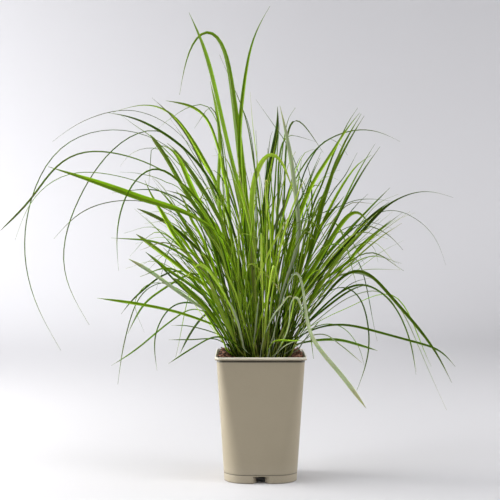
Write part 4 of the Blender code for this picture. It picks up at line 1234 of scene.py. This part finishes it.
def leaf_finishes(sizes):
    """Return the leaf finishes, in the order of the tone numbers."""
    made = [bpy.data.materials.get(f"{tone}_leaf") for tone in TONES]
    if all(made):
        return made
    green, dark, pale, lime, dry = (tuple(getattr(sizes, tone))
                                    for tone in ("green", "dark", "pale", "lime", "dry"))
    # Painted shade: the feet of the green and deep leaves are darkened nearly to black, as where the
    # clump shades its own base.
    foot = tuple(0.3 * blend(a, b, 0.25) for a, b in zip(dark, dry))
    tip = (0.110, 0.120, 0.035)
    deep = tuple(blend(a, b, 0.5) for a, b in zip(dark, green))
    olive = tuple(blend(a, b, 0.6) for a, b in zip(green, dry))
    return [
        leaf_finish("green_leaf", green, foot, tip, depth=0.2, reach=0.4),
        # The dark finish is the shaded copy of the leaves: painted shade, with its foot darkened further
        # and its dry tip darkened too.
        leaf_finish("dark_leaf", dark, toned(dark, 0.07), toned(tip, 0.65), depth=0.16, reach=0.5),
        leaf_finish("pale_leaf", pale, pale, dry, depth=0.5),
        leaf_finish("lime_leaf", lime, olive, dry, depth=0.4),
        leaf_finish("olive_leaf", olive, olive, dry, depth=0.4),
        leaf_finish("deep_leaf", deep, foot, tip, depth=0.2, reach=0.4),
    ]


def plastic_finish(pot):
    """Make the pot's finish: satin moulded plastic with faint flow marks and dust, a painted rim
    highlight, and painted shade in its grooves and along its foot.
    """
    material, tree, shader = new_finish("satin_taupe_plastic", 0.42, IOR=1.46)
    colour = tuple(pot.colour)
    mottle = place_group(tree, "Mottle", Colour=colour, Tint=toned(colour, 0.93), Scale=9.0, Share=0.6)
    grain = place_group(tree, "Fine grain", Scale=1400.0, Wave=45.0, Wave_share=0.5)
    place = put(tree, "ShaderNodeSeparateXYZ")
    feed(tree, place.inputs[0], own_place(tree))
    height = place.outputs[2]
    settled = ramped(tree, height, 0.0, 0.05, 0.30, 0.0)
    dust = product(tree, maths(tree, "ADD", settled, 0.05), grain["Mask"])
    dusty = mixed(tree, dust, mottle["Colour"], (0.46, 0.42, 0.36))
    # Painted highlight: the top few millimetres of the rim are lightened to a pale cream, where light
    # catches its rounded edge.
    painted_rim_highlight = ramped(tree, height, POT_HIGH.z - 4.5 * MM, POT_HIGH.z - 2.5 * MM, 0.0, 0.85)
    lit = mixed(tree, painted_rim_highlight, dusty, (0.78, 0.75, 0.64))
    band = POT_HIGH.z - pot.rim_band
    # Painted shade: dark lines in the step under the rim band, in the groove above the foot band and
    # along the bottom edge of the foot, where shadow falls.
    painted_shade = None
    for low, high, edge, share in ((band - 3.4 * MM, band + 0.3 * MM, 0.9 * MM, 0.85),
                                   (pot.foot_band + 0.1 * MM, pot.foot_band + 1.5 * MM, 0.3 * MM, 0.55),
                                   (-2 * MM, 1.2 * MM, 0.8 * MM, 0.5)):
        line = product(tree, ramped(tree, height, low - edge, low, 0.0, share),
                       ramped(tree, height, high, high + edge, 1.0, 0.0))
        painted_shade = line if painted_shade is None else maths(tree, "MAXIMUM", painted_shade, line)
    feed(tree, shader.inputs["Base Color"], mixed(tree, painted_shade, lit, toned(colour, 0.12)))
    rough = maths(tree, "MULTIPLY_ADD", mottle["Patches"], 0.07, 0.38)
    feed(tree, shader.inputs["Roughness"], maths(tree, "MULTIPLY_ADD", dust, 0.8, rough))
    raise_surface(tree, shader, grain["Height"], 0.05 * MM, 0.5)
    return material


def soil_finishes(soil):
    """Make the finishes of the peat and of the bark chips."""
    finishes = []
    for name, colour, tint, scale in (("dark_peat", soil.peat, 0.35, 120.0),
                                      ("red_bark", soil.bark, 0.3, 220.0)):
        material, tree, shader = new_finish(name, 0.9)
        colour = tuple(colour)
        mottle = place_group(tree, "Mottle", Colour=colour, Tint=toned(colour, tint), Scale=scale,
                             Share=0.9)
        grain = place_group(tree, "Fine grain", Scale=1300.0, Wave=260.0, Wave_share=1.0)
        tone = painted(tree, "tone")
        lit = product(tree, maths(tree, "MULTIPLY_ADD", tone, 0.6, -0.1), grain["Mask"], clamp=True)
        feed(tree, shader.inputs["Base Color"],
             mixed(tree, lit, mottle["Colour"], tuple(min(1, 2.4 * c + 0.02) for c in colour)))
        feed(tree, shader.inputs["Roughness"], ramped(tree, grain["Height"], 0.4, 1.2, 0.8, 1.0))
        raise_surface(tree, shader, grain["Height"], 0.5 * MM, 0.8)
        finishes.append(material)
    return finishes


def paper_finish(stage):
    """Make the plain pale paper of the floor and backdrop."""
    material, tree, shader = new_finish("studio_paper", 0.85)
    grain = place_group(tree, "Fine grain", Scale=400.0, Wave=3.0)
    colour = tuple(stage.paper)
    feed(tree, shader.inputs["Base Color"],
         mixed(tree, product(tree, grain["Mask"], 0.1), colour, toned(colour, 0.97)))
    return material


def build_backdrop(stage):
    """Build the floor as a wide dish that curves up into the backdrop on every side."""
    turns = 128
    profile = [(radius, 0.0) for radius in np.linspace(0.3, stage.floor_radius, 8)]
    profile += [(stage.floor_radius + stage.cove_radius * math.sin(turn),
                 stage.cove_radius * (1 - math.cos(turn)))
                for turn in np.linspace(0, math.pi / 2, 33)[1:]]
    shape = bmesh.new()
    under = 0.2 * MM
    middle = shape.verts.new((0, 0, -under))
    rows = []
    for radius, height in profile:
        rows.append([shape.verts.new((radius * math.cos(2 * math.pi * step / turns),
                                      radius * math.sin(2 * math.pi * step / turns), height - under))
                     for step in range(turns)])
    for step in range(turns):
        after = (step + 1) % turns
        shape.faces.new((middle, rows[0][step], rows[0][after]))
        for near, far in zip(rows, rows[1:]):
            shape.faces.new((near[step], far[step], far[after], near[after]))
    item = plain_object("studio_floor", shape, paper_finish(stage), crease=60)


def add_softbox(name, place, target, width, height, power, colour=(1, 1, 1)):
    """Add a soft rectangular lamp that faces a target and isn't seen itself."""
    lamp = bpy.data.lights.new(name, "AREA")
    lamp.shape = "RECTANGLE"
    lamp.size = width
    lamp.size_y = height
    lamp.energy = power
    lamp.color = colour
    item = bpy.data.objects.new(name, lamp)
    item.location = place
    item.rotation_euler = (Vector(target) - Vector(place)).to_track_quat("-Z", "Y").to_euler()
    item.visible_camera = False
    bpy.context.scene.collection.objects.link(item)


def build_lights():
    """Light the clump from the left, softly from above, and faintly from the right."""
    middle = (0, 0, 0.45)
    add_softbox("left_key", (-2.1, 0.3, 0.75), middle, 1.2, 1.5, 78, (1.0, 0.99, 0.96))
    add_softbox("left_back", (-1.8, 1.5, 1.3), middle, 1.2, 1.2, 8)
    add_softbox("left_front", (-2.2, -1.6, 1.2), middle, 2.0, 2.0, 31)
    add_softbox("left_high", (-2.2, -0.9, 2.4), middle, 1.2, 1.2, 26)
    add_softbox("right_high", (1.7, -1.0, 2.5), (0.25, 0, 0.7), 1.2, 1.2, 13)
    add_softbox("right_side", (2.4, 0.7, 0.8), middle, 0.8, 1.4, 20)
    add_softbox("floor_right", (3.0, -1.2, 1.5), (1.1, -0.3, 0.0), 1.6, 1.0, 48)
    add_softbox("floor_front", (1.8, -2.2, 1.8), (0.6, -0.6, 0.0), 1.6, 1.6, 15)
    add_softbox("floor_back", (-1.2, 3.0, 2.6), (-0.6, 3.2, 0.0), 2.4, 1.6, 26)
    add_softbox("backdrop_high", (-3.2, 3.0, 3.4), (-1.3, 7.8, 1.7), 2.0, 2.0, 238)
    add_softbox("backdrop_right", (3.0, 3.2, 2.6), (3.2, 7.8, 1.9), 2.4, 1.6, 40)
    add_softbox("backdrop_left", (-2.0, 0.3, 2.6), (-7.5, 0.3, 1.6), 3.0, 1.6, 120)
    world = bpy.data.worlds.new("studio_air")
    world.use_nodes = True
    sky = world.node_tree.nodes["Background"]
    sky.inputs["Color"].default_value = (0.93, 0.94, 1.0, 1)
    sky.inputs["Strength"].default_value = 0.03
    bpy.context.scene.world = world


def build_camera(stage):
    """Stand the camera in front of the clump, looking slightly down."""
    lens = bpy.data.cameras.new("front_camera")
    lens.lens = stage.focal
    lens.sensor_width = 36
    lens.clip_end = 40
    item = bpy.data.objects.new("front_camera", lens)
    item.location = VIEWPOINT
    item.rotation_euler = (math.pi / 2 - stage.pitch, 0, 0)
    bpy.context.scene.collection.objects.link(item)
    bpy.context.scene.camera = item
    bpy.context.scene.view_settings.view_transform = "Standard"


class GRASS_OT_stage(bpy.types.Operator):
    """Make the camera, the lights and the plain floor"""

    bl_idname = "grass.stage"
    bl_label = "Stage"

    def execute(self, context):
        stage = context.scene.grass_stage
        build_camera(stage)
        build_backdrop(stage)
        build_lights()
        return {"FINISHED"}


class GRASS_OT_pot(bpy.types.Operator):
    """Make the moulded pot"""

    bl_idname = "grass.pot"
    bl_label = "Pot"

    def execute(self, context):
        pot = context.scene.grass_pot
        build_pot(pot, plastic_finish(pot))
        return {"FINISHED"}


class GRASS_OT_soil(bpy.types.Operator):
    """Make the soil with its bark and crumbs"""

    bl_idname = "grass.soil"
    bl_label = "Soil"

    def execute(self, context):
        soil = context.scene.grass_soil
        build_soil(soil, context.scene.grass_pot, soil_finishes(soil))
        return {"FINISHED"}


def node_slots():
    """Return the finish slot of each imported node."""
    return {part["node"]: part["material_slot"] for part in frame["record"]["subparts"]}


class GRASS_OT_long_leaves(bpy.types.Operator):
    """Make the long leaves that stand clear in the outline"""

    bl_idname = "grass.long_leaves"
    bl_label = "Long Leaves"

    def execute(self, context):
        sizes = context.scene.grass_leaves
        finishes = leaf_finishes(sizes)
        dice = random.Random(sizes.seed)
        slots = node_slots()
        leaves = sorted(name for name in frame["nodes"] if name.startswith("leaf_"))
        if not leaves:
            raise RuntimeError("the packed model has no long leaves")
        for name in leaves:
            build_long_leaf(frame["nodes"][name], slots[name], finishes, sizes, dice)
        return {"FINISHED"}


class GRASS_OT_tufts(bpy.types.Operator):
    """Make the tufts that fill the clump"""

    bl_idname = "grass.tufts"
    bl_label = "Tufts"

    def execute(self, context):
        sizes = context.scene.grass_leaves
        finishes = leaf_finishes(sizes)
        for number, tuft in enumerate(TUFTS):
            dice = random.Random(sizes.seed * 100 + number)
            draft = Draft()
            for blade in BLADES[tuft.name]:
                points = seen_blade_points(blade, sizes, dice)
                rows = blade_rows(points, blade.width * MM / 2, blade.turn,
                                  sizes.stations - 8, sizes.stem * 0.8)
                add_blade(draft, rows, sizes, TONES[blade.tone], dice)
            add_shoots(draft, tuft, sizes, dice)
            add_sheaths(draft, tuft, sizes, dice)
            mount(draft.make(f"{tuft.name}_shoots", finishes), "leaf_green", f"tuft_{tuft.name}")
        return {"FINISHED"}


class GRASS_PT_clump(bpy.types.Panel):
    """The steps that finish the clump"""

    bl_label = "Ornamental Grass"
    bl_idname = "GRASS_PT_clump"
    bl_space_type = "VIEW_3D"
    bl_region_type = "UI"
    bl_category = "Grass"

    def draw(self, context):
        for name, kind in GROUPS.items():
            sizes = getattr(context.scene, name)
            box = self.layout.box()
            for field in kind.__annotations__:
                box.prop(sizes, field)
        for step in OPERATORS:
            self.layout.operator(step.bl_idname)


OPERATORS = (GRASS_OT_stage, GRASS_OT_pot, GRASS_OT_soil, GRASS_OT_long_leaves, GRASS_OT_tufts)
CLASSES = (*GROUPS.values(), *OPERATORS, GRASS_PT_clump)


def register():
    """Register the classes and give the scene their sizes."""
    for kind in CLASSES:
        bpy.utils.register_class(kind)
    for name, kind in GROUPS.items():
        setattr(bpy.types.Scene, name, PointerProperty(type=kind))


def unregister():
    """Take back what register added."""
    for name in GROUPS:
        delattr(bpy.types.Scene, name)
    for kind in reversed(CLASSES):
        bpy.utils.unregister_class(kind)


def main():
    """Finish the clump."""
    register()
    bpy.ops.grass.stage()
    bpy.ops.grass.pot()
    bpy.ops.grass.soil()
    bpy.ops.grass.long_leaves()
    bpy.ops.grass.tufts()


if __name__ == "__main__":
    main()
